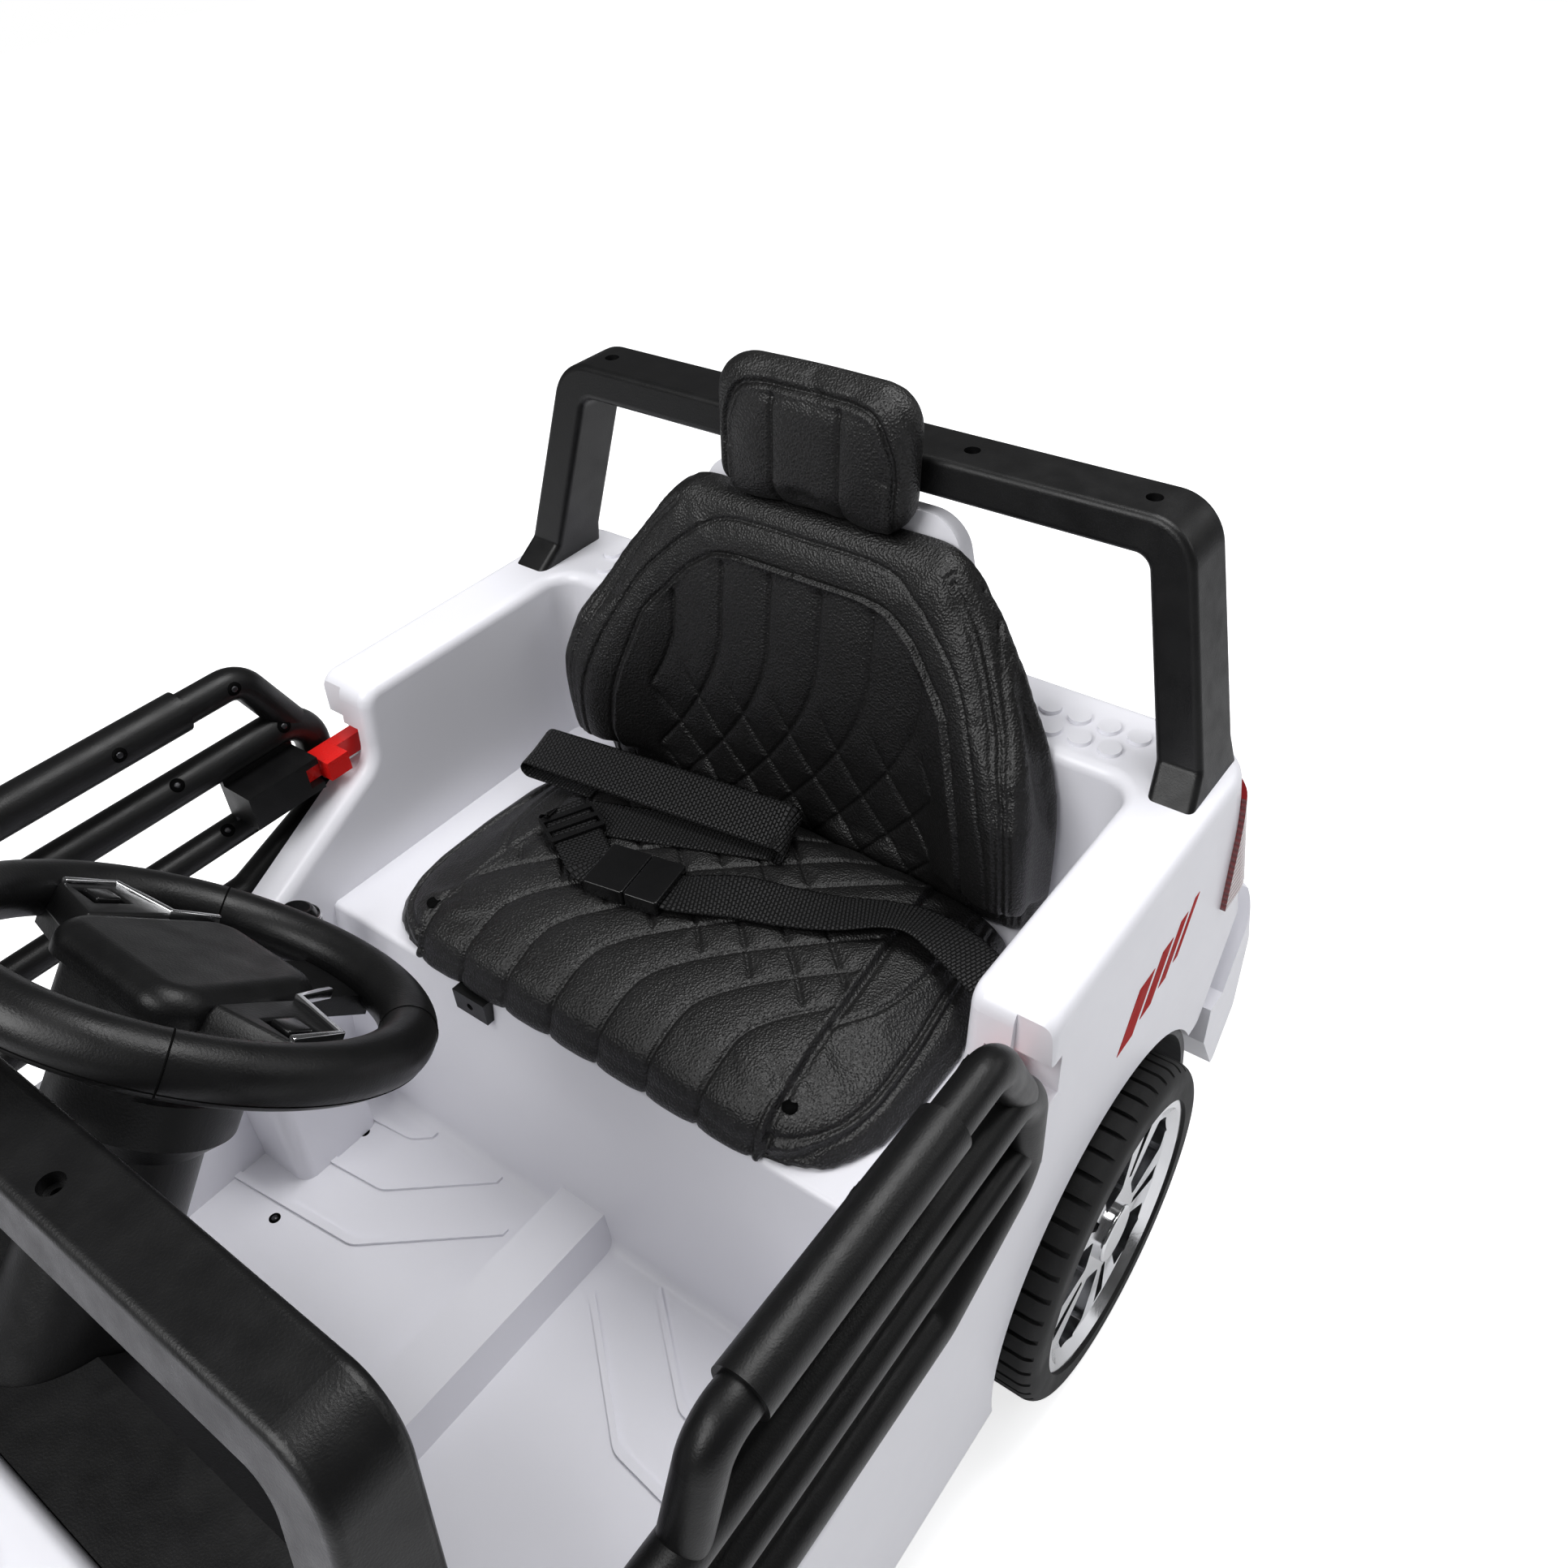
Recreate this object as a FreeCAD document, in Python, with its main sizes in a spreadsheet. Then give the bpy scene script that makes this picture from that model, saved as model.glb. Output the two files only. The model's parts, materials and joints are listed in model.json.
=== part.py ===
import FreeCAD, Part
import math
import os
import re
import Sketcher
from FreeCAD import Placement, Rotation, Vector

# Electric ride-on car: faces -Y, its left side is +X, it stands on Z = 0. All sizes in millimetres.

# Driving dimensions, one cell each
SIZES = {
    # whole car
    "body_half_width": 310, "side_wall": 54, "wall_top": 470, "floor_top": 143, "deck_skin": 27,
    "sill_bottom": 105, "shell_wall": 12, "overrun": 5, "clearance": 0.4, "running_gap": 0.05,
    # wheels and axles
    "wheel_radius": 134, "tyre_width": 78, "tyre_proud": 18, "rim_radius": 109, "tyre_shoulder": 12,
    "rear_axle_y": 302, "front_axle_y": -378, "axle_radius": 6, "axle_sink": 12, "hub_radius": 30,
    "rear_arch_room": 23, "front_arch_room": 38, "rear_well_depth": 85, "front_well_depth": 135,
    "rim_dish": 9, "rim_plate": 12, "rim_barrel": 7, "spoke_window_inner": 36, "spoke_window_outer": 94,
    "window_inner_half": 13, "window_outer_half": 27, "window_shoulder": 84, "window_round": 5,
    "slot_inner_half": 3, "slot_outer_half": 7, "slot_inner": 44, "slot_outer": 90, "rim_cap_radius": 23,
    "rim_cap_height": 6, "rim_edge": 2, "tread_groove_width": 4, "tread_groove_depth": 4,
    "tread_groove_length": 30,
    # tub
    "tub_front_y": -190, "valance_y": 380, "valance_z": 215, "tail_low_y": 492, "tail_seam_y": 534,
    "tail_seam_z": 290, "tail_top_y": 466, "tail_corner_round": 38, "top_edge_round": 9, "pillar_y": 180,
    "pillar_low_y": 174, "pillar_depth": 60, "pillar_top_round": 16, "pillar_low_round": 24,
    "sill_flat_y": -25, "sill_flat_z": 300, "sill_round": 60, "sill_recess": 24, "sill_recess_z": 312,
    "sill_recess_knee_y": 40, "sill_recess_rear_y": 182, "sill_recess_rear_z": 350, "seat_box_foot_y": 78,
    "seat_box_lip_y": 105, "pocket_rear_y": 392, "pocket_foot_round": 10, "pocket_lip_round": 5,
    "pocket_corner_round": 22, "tunnel_half_width": 21, "tunnel_height": 27, "tunnel_flank": 9,
    "hump_low_half_width": 128, "hump_top_half_width": 104, "hump_rise": 133, "hump_round": 28,
    "hump_front_y": 396, "hump_rear_y": 440, "hump_rake": 22, "stud_radius": 8, "stud_height": 3,
    "stud_pitch": 22, "stud_first_x": 172, "stud_front_y": 413, "rib_knee_x": 132, "rib_step_x": 18,
    "rib_knee_y": -35, "rib_pitch": 45, "rib_sweep": 6.3, "rib_rake": 39, "rib_inner_x": 44, "rib_rear_y": 66,
    "rib_width": 6, "rib_height": 2.5, "rib_round": 18, "console_set": 32, "console_half_width": 20,
    "console_front_y": -20, "console_rear_y": 54, "console_top": 232,
    "console_round": 12, "console_wall": 8, "strike_front_y": 144, "strike_rear_y": 193, "strike_room": 8,
    # seat tab
    "tab_x": 97, "tab_half_width": 16, "tab_drop": 20, "tab_front_y": 96, "tab_rear_y": 111,
    "tab_screw_radius": 3,
    # front body, bonnet, grille and lamps
    "nose_y": -548, "nose_low_y": -528, "nose_low_z": 215, "nose_mid_z": 262, "nose_top_z": 396,
    "cowl_y": -262, "cowl_z": 432, "nose_round": 26, "nose_corner_round": 50, "bay_front_y": -500,
    "bay_rear_y": -324, "firewall_y": -312, "axle_slot_front_y": -495, "axle_slot_rear_y": -346,
    "axle_slot_rise": 44, "bonnet_set": 72, "bonnet_front_y": -530, "bonnet_rear_y": -272,
    "bonnet_thickness": 14, "bonnet_round": 40, "scoop_half_width": 82, "scoop_front_y": -440,
    "scoop_rear_y": -300, "scoop_height": 12, "scoop_round": 18, "grille_set": 66, "grille_low_z": 284,
    "grille_high_z": 384, "grille_thickness": 9, "grille_round": 40, "grille_slot_pitch": 36,
    "grille_slot_width": 22, "grille_slot_low_z": 304, "grille_slot_high_z": 364, "lamp_set": 53,
    "lamp_z": 334, "lamp_radius": 38, "lamp_dome": 14,
    # bumpers and tail lamps
    "front_bumper_y": -566, "bumper_proud": 2, "front_bumper_low_z": 112, "front_bumper_end_y": -553,
    "front_bumper_rear_y": -506, "front_bumper_cut": 34, "front_bumper_sweep": 62,
    "front_bumper_round": 16, "intake_half_width": 165, "intake_low_z": 138, "intake_high_z": 176,
    "rear_bumper_y": 566, "rear_bumper_low_z": 118,
    "rear_bumper_shoulder_y": 548, "rear_bumper_face_z": 238, "rear_bumper_chin_z": 150,
    "rear_bumper_chin_y": 546, "rear_bumper_front_y": 470, "rear_bumper_tip_y": 504,
    "rear_bumper_front_z": 176, "bumper_corner_round": 34, "tail_lamp_height": 102, "tail_lamp_set": 28,
    "tail_lamp_width": 48, "tail_lamp_front_y": 448, "tail_lamp_proud": 4, "liner_thickness": 6,
    "liner_rise": 16,
    # chassis pan and running gear
    "pan_bottom": 93, "pan_front_y": -503, "pan_room": 5, "pan_mid_front_y": -198, "pan_set": 18,
    "pan_mid_rear_y": 138, "pan_inset": 9, "pan_rear_y": 465, "king_pin_set": 96, "king_pin_radius": 5,
    "king_ear_round": 14, "king_ear_thickness": 11, "king_ear_rise": 35, "king_web_thickness": 8,
    "knuckle_radius": 11, "steer_arm_length": 72, "steer_arm_half_width": 8, "steer_arm_rise": 9,
    "steer_arm_thickness": 8, "tie_pin_radius": 4, "tie_pin_length": 16,
    "tie_rod_height": 12.6, "tie_rod_half_depth": 8, "tie_rod_end": 11, "tie_slot_half_width": 5,
    "tie_slot_rear": 6, "axle_stand_set": 16, "axle_stand_half_depth": 18, "axle_stand_rise": 24,
    "axle_stand_thickness": 10, "gearbox_width": 44, "gearbox_set": 15, "gearbox_radius": 28,
    "gearbox_motor_radius": 25, "motor_offset_y": 62, "motor_rise": 18, "motor_radius": 18,
    "motor_length": 58, "motor_shaft_length": 10, "drive_hub_radius": 24, "drive_hub_hole": 26,
    "battery_half_width": 75, "battery_front_y": 126, "battery_rear_y": 216, "battery_height": 98,
    "battery_round": 5, "battery_terminal": 8, "control_half_width": 58, "control_front_y": 352,
    "control_rear_y": 414, "control_height": 34, "control_round": 4,
    # roll bar and windscreen frame
    "bar_foot_front_y": 380, "bar_foot_rear_y": 452, "bar_kink_y": 399, "bar_foot_height": 18,
    "bar_rear_kink_y": 450, "bar_top_front_y": 424, "bar_top_rear_y": 472, "bar_rise": 169,
    "bar_depth": 26, "bar_foot_set": 11, "bar_foot_width": 32, "bar_lean": 54, "bar_leg_width": 24,
    "bar_outer_round": 35, "bar_inner_round": 12, "bar_screw_set": 34.7, "bar_screw_inner_x": 94.8,
    "bar_screw_back": 25, "bar_screw_radius": 2.6, "bar_sink_radius": 5.5, "bar_sink_depth": 6,
    "bar_edge_round": 5,
    "screen_foot_front_y": -262, "screen_foot_rear_y": -222, "screen_top_front_y": -221,
    "screen_top_rear_y": -186, "screen_rise": 186, "screen_depth": 32, "screen_foot_set": 10,
    "screen_foot_width": 34, "screen_lean": 48, "screen_leg_width": 30, "screen_outer_round": 32,
    "screen_inner_round": 14, "screen_screw_set": 23,
    # dashboard and column
    "dash_rear_y": -204, "dash_low_z": 338, "dash_top_z": 452, "dash_lip_y": -222, "dash_round": 16,
    "steer_y": -102.8, "steer_z": 578, "column_tilt": 40, "steer_ring_radius": 104.6,
    "steer_tube_radius": 14, "steer_hub_top": -4, "steer_hub_low": -26, "steer_hub_half_width": 46,
    "steer_hub_front": -40, "steer_hub_rear": 46, "steer_hub_round": 18, "spoke_low": -16,
    "spoke_top": -5, "side_spoke_half_width": 26, "spoke_tip_half_width": 14, "low_spoke_half_width": 22,
    "spoke_reach": 98, "pad_half_width": 52, "pad_front": -46, "pad_rear": 50, "pad_rear_half_width": 41,
    "pad_height": 16, "pad_round": 20, "pad_edge_round": 12, "spoke_button_x": 74.5, "spoke_button_half": 7,
    "spoke_button_depth": 5, "spoke_button_proud": 3, "spoke_button_travel": 2, "trim_thickness": 1.5,
    "trim_width": 3.5, "trim_inner_x": 58, "trim_bend_x": 79, "trim_outer_x": 88, "trim_half_width": 16.5,
    "trim_tip_half_width": 7, "shaft_radius": 9, "crank_rise": 45.66,
    "crank_radius": 28.8, "crank_thickness": 10, "crank_half_width": 9, "crank_pin_radius": 4,
    "crank_pin_length": 26, "fork_gap": 7.6, "fork_thickness": 5, "fork_front_y": -490, "fork_height": 22,
    "shroud_top": 46, "shroud_collar_low": 68, "shroud_end": 196, "shroud_collar_radius": 44,
    "shroud_neck_radius": 33, "shroud_end_radius": 38, "shaft_tunnel_radius": 14,
    # pedal, direction lever and power rocker
    "pedal_x": -118, "pedal_half_width": 34, "pedal_heel_y": -168, "pedal_barrel_radius": 6,
    "pedal_toe_y": -262, "pedal_toe_z": 214, "pedal_thickness": 8, "lever_pivot_y": 8,
    "lever_pivot_z": 190, "lever_radius": 6, "lever_barrel_radius": 9, "lever_tilt": 17,
    "lever_length": 172, "knob_radius": 19, "knob_neck": 10, "rocker_x": 132, "rocker_half_width": 11,
    "rocker_half_height": 7, "rocker_half_depth": 6, "rocker_z": 398, "rocker_room": 2,
    "rocker_pin_radius": 2, "rocker_pin_length": 2,
    # doors
    "door_set": 4, "door_hinge_y": -166, "door_tube_radius": 13, "door_drop": 21, "door_rear_y": 158,
    "door_knee_drop": 77, "door_low_y": 68, "door_height": 113, "door_bend": 26, "door_mid_drop": 58,
    "door_mid_radius": 11, "grip_radius": 12, "grip_rise": 53, "grip_front_y": -128, "grip_rear_y": 146,
    "grip_front_top_y": -104, "grip_rear_top_y": 118, "grip_bend": 22, "sleeve_radius": 15,
    "sleeve_front_y": -84, "sleeve_rear_y": 71, "hinge_ring_radius": 19, "hinge_foot": 18,
    "hinge_pitch": 54, "hinge_height": 20, "hinge_arm": 14, "latch_plate_thickness": 5,
    "latch_front_y": 78, "latch_rear_y": 138, "latch_height": 28, "latch_drop": 16, "latch_width": 29,
    "latch_set": 6, "bolt_set": 7, "bolt_width": 12, "bolt_room": 6, "bolt_front_y": 108,
    "bolt_rear_y": 184, "bolt_travel": 14, "thumb_proud": 6, "thumb_front_y": 141, "thumb_rear_y": 160,
    # seat
    "seat_gap": 0.4, "seat_front_y": 105, "seat_rear_y": 348, "seat_side_room": 35,
    "seat_bolster_width": 68, "seat_thickness": 37, "seat_bolster_rise": 6, "seat_channel_depth": 4,
    "seat_side_draw": 5, "back_side_room": 50, "back_wing_width": 102, "back_wing_depth": 68,
    "back_thickness": 31,
    "back_bolster_rise": 14, "back_channel_depth": 4, "back_side_draw": 5, "headrest_set": 14,
    "headrest_height": 108, "headrest_half_width": 84, "headrest_front_y": 378, "headrest_rear_y": 415,
    "headrest_lean": 12, "headrest_channel_depth": 3, "headrest_panel_half_width": 64,
    "headrest_crown": 10,
    # belt
    "belt_width": 38, "belt_thickness": 1.6, "belt_bend": 3, "belt_loop_radius": 9, "belt_tuck": 58,
    "belt_fold_x": 20, "belt_fold_y": 320, "belt_loop_set": 26, "belt_loop_y": 264, "belt_side_room": 16,
    "belt_side_y": 272, "belt_side_bend": 10, "belt_mid_x": 135, "belt_mid_y": 290, "belt_entry": 6,
    "belt_slot": 3.4, "buckle_x": -71, "buckle_y": 215, "buckle_turn": 10, "buckle_half_width": 22,
    "buckle_length": 34, "buckle_height": 12, "buckle_neck": 15, "tongue_x": -9, "tongue_y": 226,
    "tongue_length": 28, "adjuster_x": -120, "adjuster_y": 239, "adjuster_turn": -26,
    "adjuster_lift": 2.4, "adjuster_end_x": -142, "adjuster_end_y": 249, "adjuster_length": 30,
    "adjuster_bar": 5, "adjuster_height": 7,
}

# Places worked out from the driving dimensions
PLACES = {
    "rear_arch_radius": "wheel_radius + rear_arch_room",
    "front_arch_radius": "wheel_radius + front_arch_room",
    "deck_top": "wheel_radius + rear_arch_radius + deck_skin", "tab_low_z": "deck_top - tab_drop",
    "axle_slot_top": "wheel_radius + axle_slot_rise", "liner_low_z": "wheel_radius + liner_rise",
    "king_ear_top": "wheel_radius + king_ear_rise", "axle_stand_top": "wheel_radius + axle_stand_rise",
    "steer_arm_low_z": "wheel_radius + steer_arm_rise",
    "steer_arm_high_z": "steer_arm_low_z + steer_arm_thickness",
    "tie_pin_top": "steer_arm_high_z + tie_pin_length",
    "tie_rod_low_z": "steer_arm_high_z + clearance", "tie_rod_high_z": "tie_rod_low_z + tie_rod_height",
    "fork_top_z": "tie_rod_high_z + fork_height", "motor_z": "wheel_radius + motor_rise",
    "shaft_end": "(steer_z - wheel_radius - crank_rise) / cos(column_tilt)",
    "inner_half_width": "body_half_width - side_wall", "tyre_face_x": "body_half_width + tyre_proud",
    "axle_half_length": "tyre_face_x - axle_sink", "rear_well_x": "body_half_width - rear_well_depth",
    "front_well_x": "body_half_width - front_well_depth",
    "sill_recess_x": "body_half_width - sill_recess", "hollow_half_width": "rear_well_x - shell_wall",
    "console_x": "inner_half_width - console_set", "bonnet_half_width": "body_half_width - bonnet_set",
    "bay_half_width": "front_well_x - shell_wall", "grille_half_width": "body_half_width - grille_set",
    "lamp_x": "grille_half_width - lamp_set", "front_bumper_half_width": "body_half_width + bumper_proud",
    "front_bumper_inner_x": "bay_half_width + bumper_proud",
    "rear_bumper_half_width": "body_half_width + 2 * bumper_proud",
    "tail_lamp_inner_x": "body_half_width - tail_lamp_width",
    "pan_front_half_width": "bay_half_width - pan_room",
    "pan_mid_half_width": "body_half_width - pan_set",
    "pan_rear_half_width": "hollow_half_width - pan_inset", "king_pin_x": "tyre_face_x - king_pin_set",
    "king_web_x": "front_well_x - pan_inset", "gearbox_outer_x": "rear_well_x - gearbox_set",
    "gearbox_inner_x": "gearbox_outer_x - gearbox_width",
    "axle_stand_x": "gearbox_inner_x - axle_stand_set",
    "bar_foot_outer_x": "body_half_width - bar_foot_set",
    "bar_foot_inner_x": "bar_foot_outer_x - bar_foot_width",
    "bar_top_outer_x": "body_half_width - bar_lean", "bar_top_inner_x": "bar_top_outer_x - bar_leg_width",
    "bar_screw_outer_x": "bar_top_outer_x - bar_screw_set", "bar_top": "wall_top + bar_rise",
    "bar_under": "bar_top - bar_depth", "bar_kink_z": "wall_top + bar_foot_height",
    "screen_foot_outer_x": "body_half_width - screen_foot_set",
    "screen_foot_inner_x": "screen_foot_outer_x - screen_foot_width",
    "screen_top_outer_x": "body_half_width - screen_lean",
    "screen_top_inner_x": "screen_top_outer_x - screen_leg_width", "screen_top": "cowl_z + screen_rise",
    "screen_under": "screen_top - screen_depth", "hump_top": "wall_top + hump_rise",
    "headrest_low_z": "hump_top - headrest_set",
    "back_height": "headrest_low_z - deck_top - 2 * seat_gap", "pillar_low_z": "wall_top - pillar_depth",
    "tail_lamp_high_z": "wall_top - tail_lamp_set",
    "tail_lamp_low_z": "tail_lamp_high_z - tail_lamp_height", "door_x": "body_half_width - door_set",
    "hinge_arm_inner_x": "door_x - hinge_arm", "latch_outer_x": "door_x - latch_set",
    "latch_inner_x": "latch_outer_x - latch_width", "bolt_inner_x": "latch_inner_x + bolt_set",
    "bolt_outer_x": "bolt_inner_x + bolt_width", "thumb_inner_x": "latch_inner_x - thumb_proud",
    "door_top_z": "wall_top - door_drop", "door_knee_z": "door_top_z - door_knee_drop",
    "door_low_z": "door_top_z - door_height", "door_mid_z": "door_top_z - door_mid_drop",
    "grip_z": "door_top_z + grip_rise", "hinge_low_z": "door_low_z + hinge_foot",
    "hinge_high_z": "hinge_low_z + hinge_pitch", "latch_high_z": "door_top_z - latch_drop",
    "latch_low_z": "latch_high_z - latch_height", "bolt_low_z": "latch_low_z + bolt_room",
    "bolt_high_z": "latch_high_z - bolt_room", "strike_low_z": "bolt_low_z - strike_room",
    "strike_high_z": "bolt_high_z + strike_room", "seat_half_width": "inner_half_width - seat_side_room",
    "seat_panel_half_width": "seat_half_width - seat_bolster_width",
    "back_half_width": "inner_half_width - back_side_room",
    "back_panel_half_width": "back_half_width - back_wing_width",
    "belt_side_x": "inner_half_width - belt_side_room",
    "belt_loop_x": "-(seat_half_width - belt_loop_set)",
    "screen_screw_y": "screen_top_rear_y - screen_screw_set",
    "bar_screw_y": "bar_top_rear_y - bar_screw_back",
}


# Sheet and expressions

DOC = FreeCAD.newDocument("ride_on_car")
SHEET = DOC.addObject("Spreadsheet::Sheet", "Sizes")
for row, (alias, value) in enumerate(SIZES.items(), 1):
    SHEET.set("A%d" % row, alias)
    SHEET.set("B%d" % row, str(value))
    SHEET.setAlias("B%d" % row, alias)
DOC.recompute()
WORD = re.compile(r"[A-Za-z_][A-Za-z_0-9]*")
NODES = {}


def spelled(text):
    """Expression with every worked-out place written in the sheet's names."""
    def word_in_full(word):
        name = word.group()
        return "(%s)" % spelled(PLACES[name]) if name in PLACES else name
    return WORD.sub(word_in_full, str(text))


def number(text):
    """Value of an expression in the sheet's names."""
    return float(SHEET.evalExpression(spelled(text)))


def sheet_name(word):
    return "Sizes." + word.group() if word.group() in SIZES else word.group()


def bind(thing, **texts):
    """Tie properties to sheet expressions; a double underscore stands for a dot."""
    for prop, text in texts.items():
        thing.setExpression(prop.replace("__", "."), WORD.sub(sheet_name, spelled(text)))
    return thing


def node(name, thing):
    """Name a finished sub-part."""
    thing.Label = name
    NODES[name] = thing
    return thing


def place(thing, x="0", y="0", z="0", axis=None, angle="0"):
    """Bound placement of a part or body."""
    if axis:
        thing.Placement = Placement(Vector(), Rotation(Vector(*axis), number(angle)))
        bind(thing, Placement__Rotation__Angle=angle)
    return bind(thing, Placement__Base__x=x, Placement__Base__y=y, Placement__Base__z=z)


# Solids from primitives

def box(x, y, z):
    """Box between pairs of expressions."""
    solid = DOC.addObject("Part::Box", "block")
    bind(solid, Length="(%s) - (%s)" % (x[1], x[0]), Width="(%s) - (%s)" % (y[1], y[0]),
         Height="(%s) - (%s)" % (z[1], z[0]))
    return place(solid, x[0], y[0], z[0])


TURNS = {"X": ((0, 1, 0), 90), "Y": ((1, 0, 0), -90), "Z": ((0, 0, 1), 0)}


def rod(direction, radius, length, x="0", y="0", z="0"):
    """Cylinder that starts at a point and runs along +X, +Y or +Z."""
    solid = DOC.addObject("Part::Cylinder", "rod")
    axis, angle = TURNS[direction]
    solid.Placement = Placement(Vector(), Rotation(Vector(*axis), angle))
    bind(solid, Radius=radius, Height=length)
    return place(solid, x, y, z)


def join(*solids):
    """Union of overlapping solids."""
    union = DOC.addObject("Part::MultiFuse", "union")
    union.Shapes = list(solids)
    union.Refine = True
    return union


def group(*solids):
    """Several separate solids as one sub-part."""
    several = DOC.addObject("Part::Compound", "several")
    several.Links = list(solids)
    return several


def cut(base, *tools):
    """Base with tools taken away."""
    difference = DOC.addObject("Part::Cut", "difference")
    difference.Base = base
    difference.Tool = tools[0] if len(tools) == 1 else join(*tools)
    difference.Refine = True
    return difference


def common(first, second):
    """What two solids share."""
    shared = DOC.addObject("Part::Common", "shared")
    shared.Base = first
    shared.Tool = second
    return shared


# Sketches and features

def corner_arc(before, point, after, radius):
    """Tangent points, centre and turn of a rounded corner."""
    into = (point - before).normalize()
    out = (after - point).normalize()
    turn = into.getAngle(out)
    reach = radius * math.tan(turn / 2)
    start = point - into * reach
    left = into.x * out.y - into.y * out.x > 0
    side = Vector(-into.y, into.x, 0) * (1 if left else -1)
    return start, point + out * reach, start + side * radius, left


def tie_point(sketch, shape, end, u, v):
    """Hold a sketch point at bound coordinates."""
    for kind, axis, text in (("DistanceX", -2, u), ("DistanceY", -1, v)):
        value = number(text)
        if value == 0:
            sketch.addConstraint(Sketcher.Constraint("PointOnObject", shape, end, axis))
            continue
        index = sketch.addConstraint(Sketcher.Constraint(kind, -1, 1, shape, end, value))
        bind(sketch, **{"Constraints[%d]" % index: text})


def outline(sketch, corners, closed=True):
    """Polygon with optional rounded corners, each corner tied to the sheet."""
    points = [Vector(number(corner[0]), number(corner[1]), 0) for corner in corners]
    count = len(points)
    starts, ends, arcs = list(points), list(points), {}
    for i, corner in enumerate(corners):
        if len(corner) == 3:
            radius = number(corner[2])
            after = points[(i + 1) % count]
            starts[i], ends[i], centre, left = corner_arc(points[i - 1], points[i], after, radius)
            arcs[i] = (centre, radius, left)
    lines = []
    for i in range(count if closed else count - 1):
        lines.append(sketch.addGeometry(Part.LineSegment(ends[i], starts[(i + 1) % count])))
    for i, corner in enumerate(corners):
        if i not in arcs:
            if closed or i > 0:
                before = lines[i - 1]
                if closed or i < count - 1:
                    sketch.addConstraint(Sketcher.Constraint("Coincident", before, 2, lines[i], 1))
                else:
                    tie_point(sketch, before, 2, corner[0], corner[1])
                    continue
            tie_point(sketch, lines[i], 1, corner[0], corner[1])
            continue
        centre, radius, left = arcs[i]
        first, last = (starts[i], ends[i]) if left else (ends[i], starts[i])
        angles = [math.atan2(p.y - centre.y, p.x - centre.x) for p in (first, last)]
        circle = Part.Circle(centre, Vector(0, 0, 1), radius)
        arc = sketch.addGeometry(Part.ArcOfCircle(circle, angles[0], angles[1]))
        point = sketch.addGeometry(Part.Point(points[i]), True)
        near, far = (1, 2) if left else (2, 1)
        sketch.addConstraint(Sketcher.Constraint("Tangent", lines[i - 1], 2, arc, near))
        sketch.addConstraint(Sketcher.Constraint("Tangent", lines[i], 1, arc, far))
        sketch.addConstraint(Sketcher.Constraint("PointOnObject", point, 1, lines[i - 1]))
        sketch.addConstraint(Sketcher.Constraint("PointOnObject", point, 1, lines[i]))
        tie_point(sketch, point, 1, corner[0], corner[1])
        index = sketch.addConstraint(Sketcher.Constraint("Radius", arc, radius))
        bind(sketch, **{"Constraints[%d]" % index: corner[2]})


def disc(sketch, u, v, radius):
    """Circle tied to the sheet."""
    circle = Part.Circle(Vector(number(u), number(v), 0), Vector(0, 0, 1), number(radius))
    shape = sketch.addGeometry(circle)
    tie_point(sketch, shape, 3, u, v)
    index = sketch.addConstraint(Sketcher.Constraint("Radius", shape, number(radius)))
    bind(sketch, **{"Constraints[%d]" % index: radius})


def rectangle(u, v, corner=None):
    """Outline between two pairs of expressions, with rounded corners if asked."""
    points = [(u[0], v[0]), (u[1], v[0]), (u[1], v[1]), (u[0], v[1])]
    return [point + (corner,) for point in points] if corner else points


def even(half):
    """Pair of expressions the same way out on both sides of zero."""
    return ("-(%s)" % half, half)


def about(middle, half):
    """Pair of expressions the same way out on both sides of a middle."""
    return ("%s - (%s)" % (middle, half), "%s + (%s)" % (middle, half))


def new_body():
    """Empty PartDesign body."""
    return DOC.addObject("PartDesign::Body", "body")


def sketch_on(body, plane, offset="0"):
    """Sketch on one of the body's own planes, moved along its normal."""
    sketch = body.newObject("Sketcher::SketchObject", "sketch")
    support = [face for face in body.Origin.OriginFeatures if face.Role == plane + "_Plane"][0]
    sketch.AttachmentSupport = [(support, "")]
    sketch.MapMode = "FlatFace"
    return bind(sketch, AttachmentOffset__Base__z=offset)


def pad(body, plane, corners, length, offset="0", symmetric=False, back=False):
    """Extruded outline; a list of (u, v, radius) discs when corners is a dict."""
    return extrude(body, "PartDesign::Pad", plane, corners, length, offset, symmetric, back)


def pocket(body, plane, corners, length, offset="0", symmetric=False, back=False):
    """Outline cut out of the body; the volume has to fall."""
    before = body.Shape.Volume
    feature = extrude(body, "PartDesign::Pocket", plane, corners, length, offset, symmetric, back)
    if body.Shape.Volume >= before:
        raise ValueError("a pocket cut nothing in " + body.Label)
    return feature


def extrude(body, kind, plane, corners, length, offset, symmetric, back):
    sketch = sketch_on(body, plane, offset)
    if isinstance(corners, dict):
        for u, v, radius in corners["discs"]:
            disc(sketch, u, v, radius)
    else:
        outline(sketch, corners)
    feature = body.newObject(kind, "feature")
    feature.Profile = sketch
    feature.SideType = "Symmetric" if symmetric else "One side"
    feature.Reversed = back
    bind(feature, Length=length)
    DOC.recompute()
    return feature


def revolve(body, plane, corners, axis):
    """Outline turned once about one of the body's axes."""
    sketch = sketch_on(body, plane)
    outline(sketch, corners)
    feature = body.newObject("PartDesign::Revolution", "turned")
    feature.Profile = sketch
    line = [item for item in body.Origin.OriginFeatures if item.Role == axis + "_Axis"][0]
    feature.ReferenceAxis = (line, [""])
    DOC.recompute()
    return feature


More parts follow.
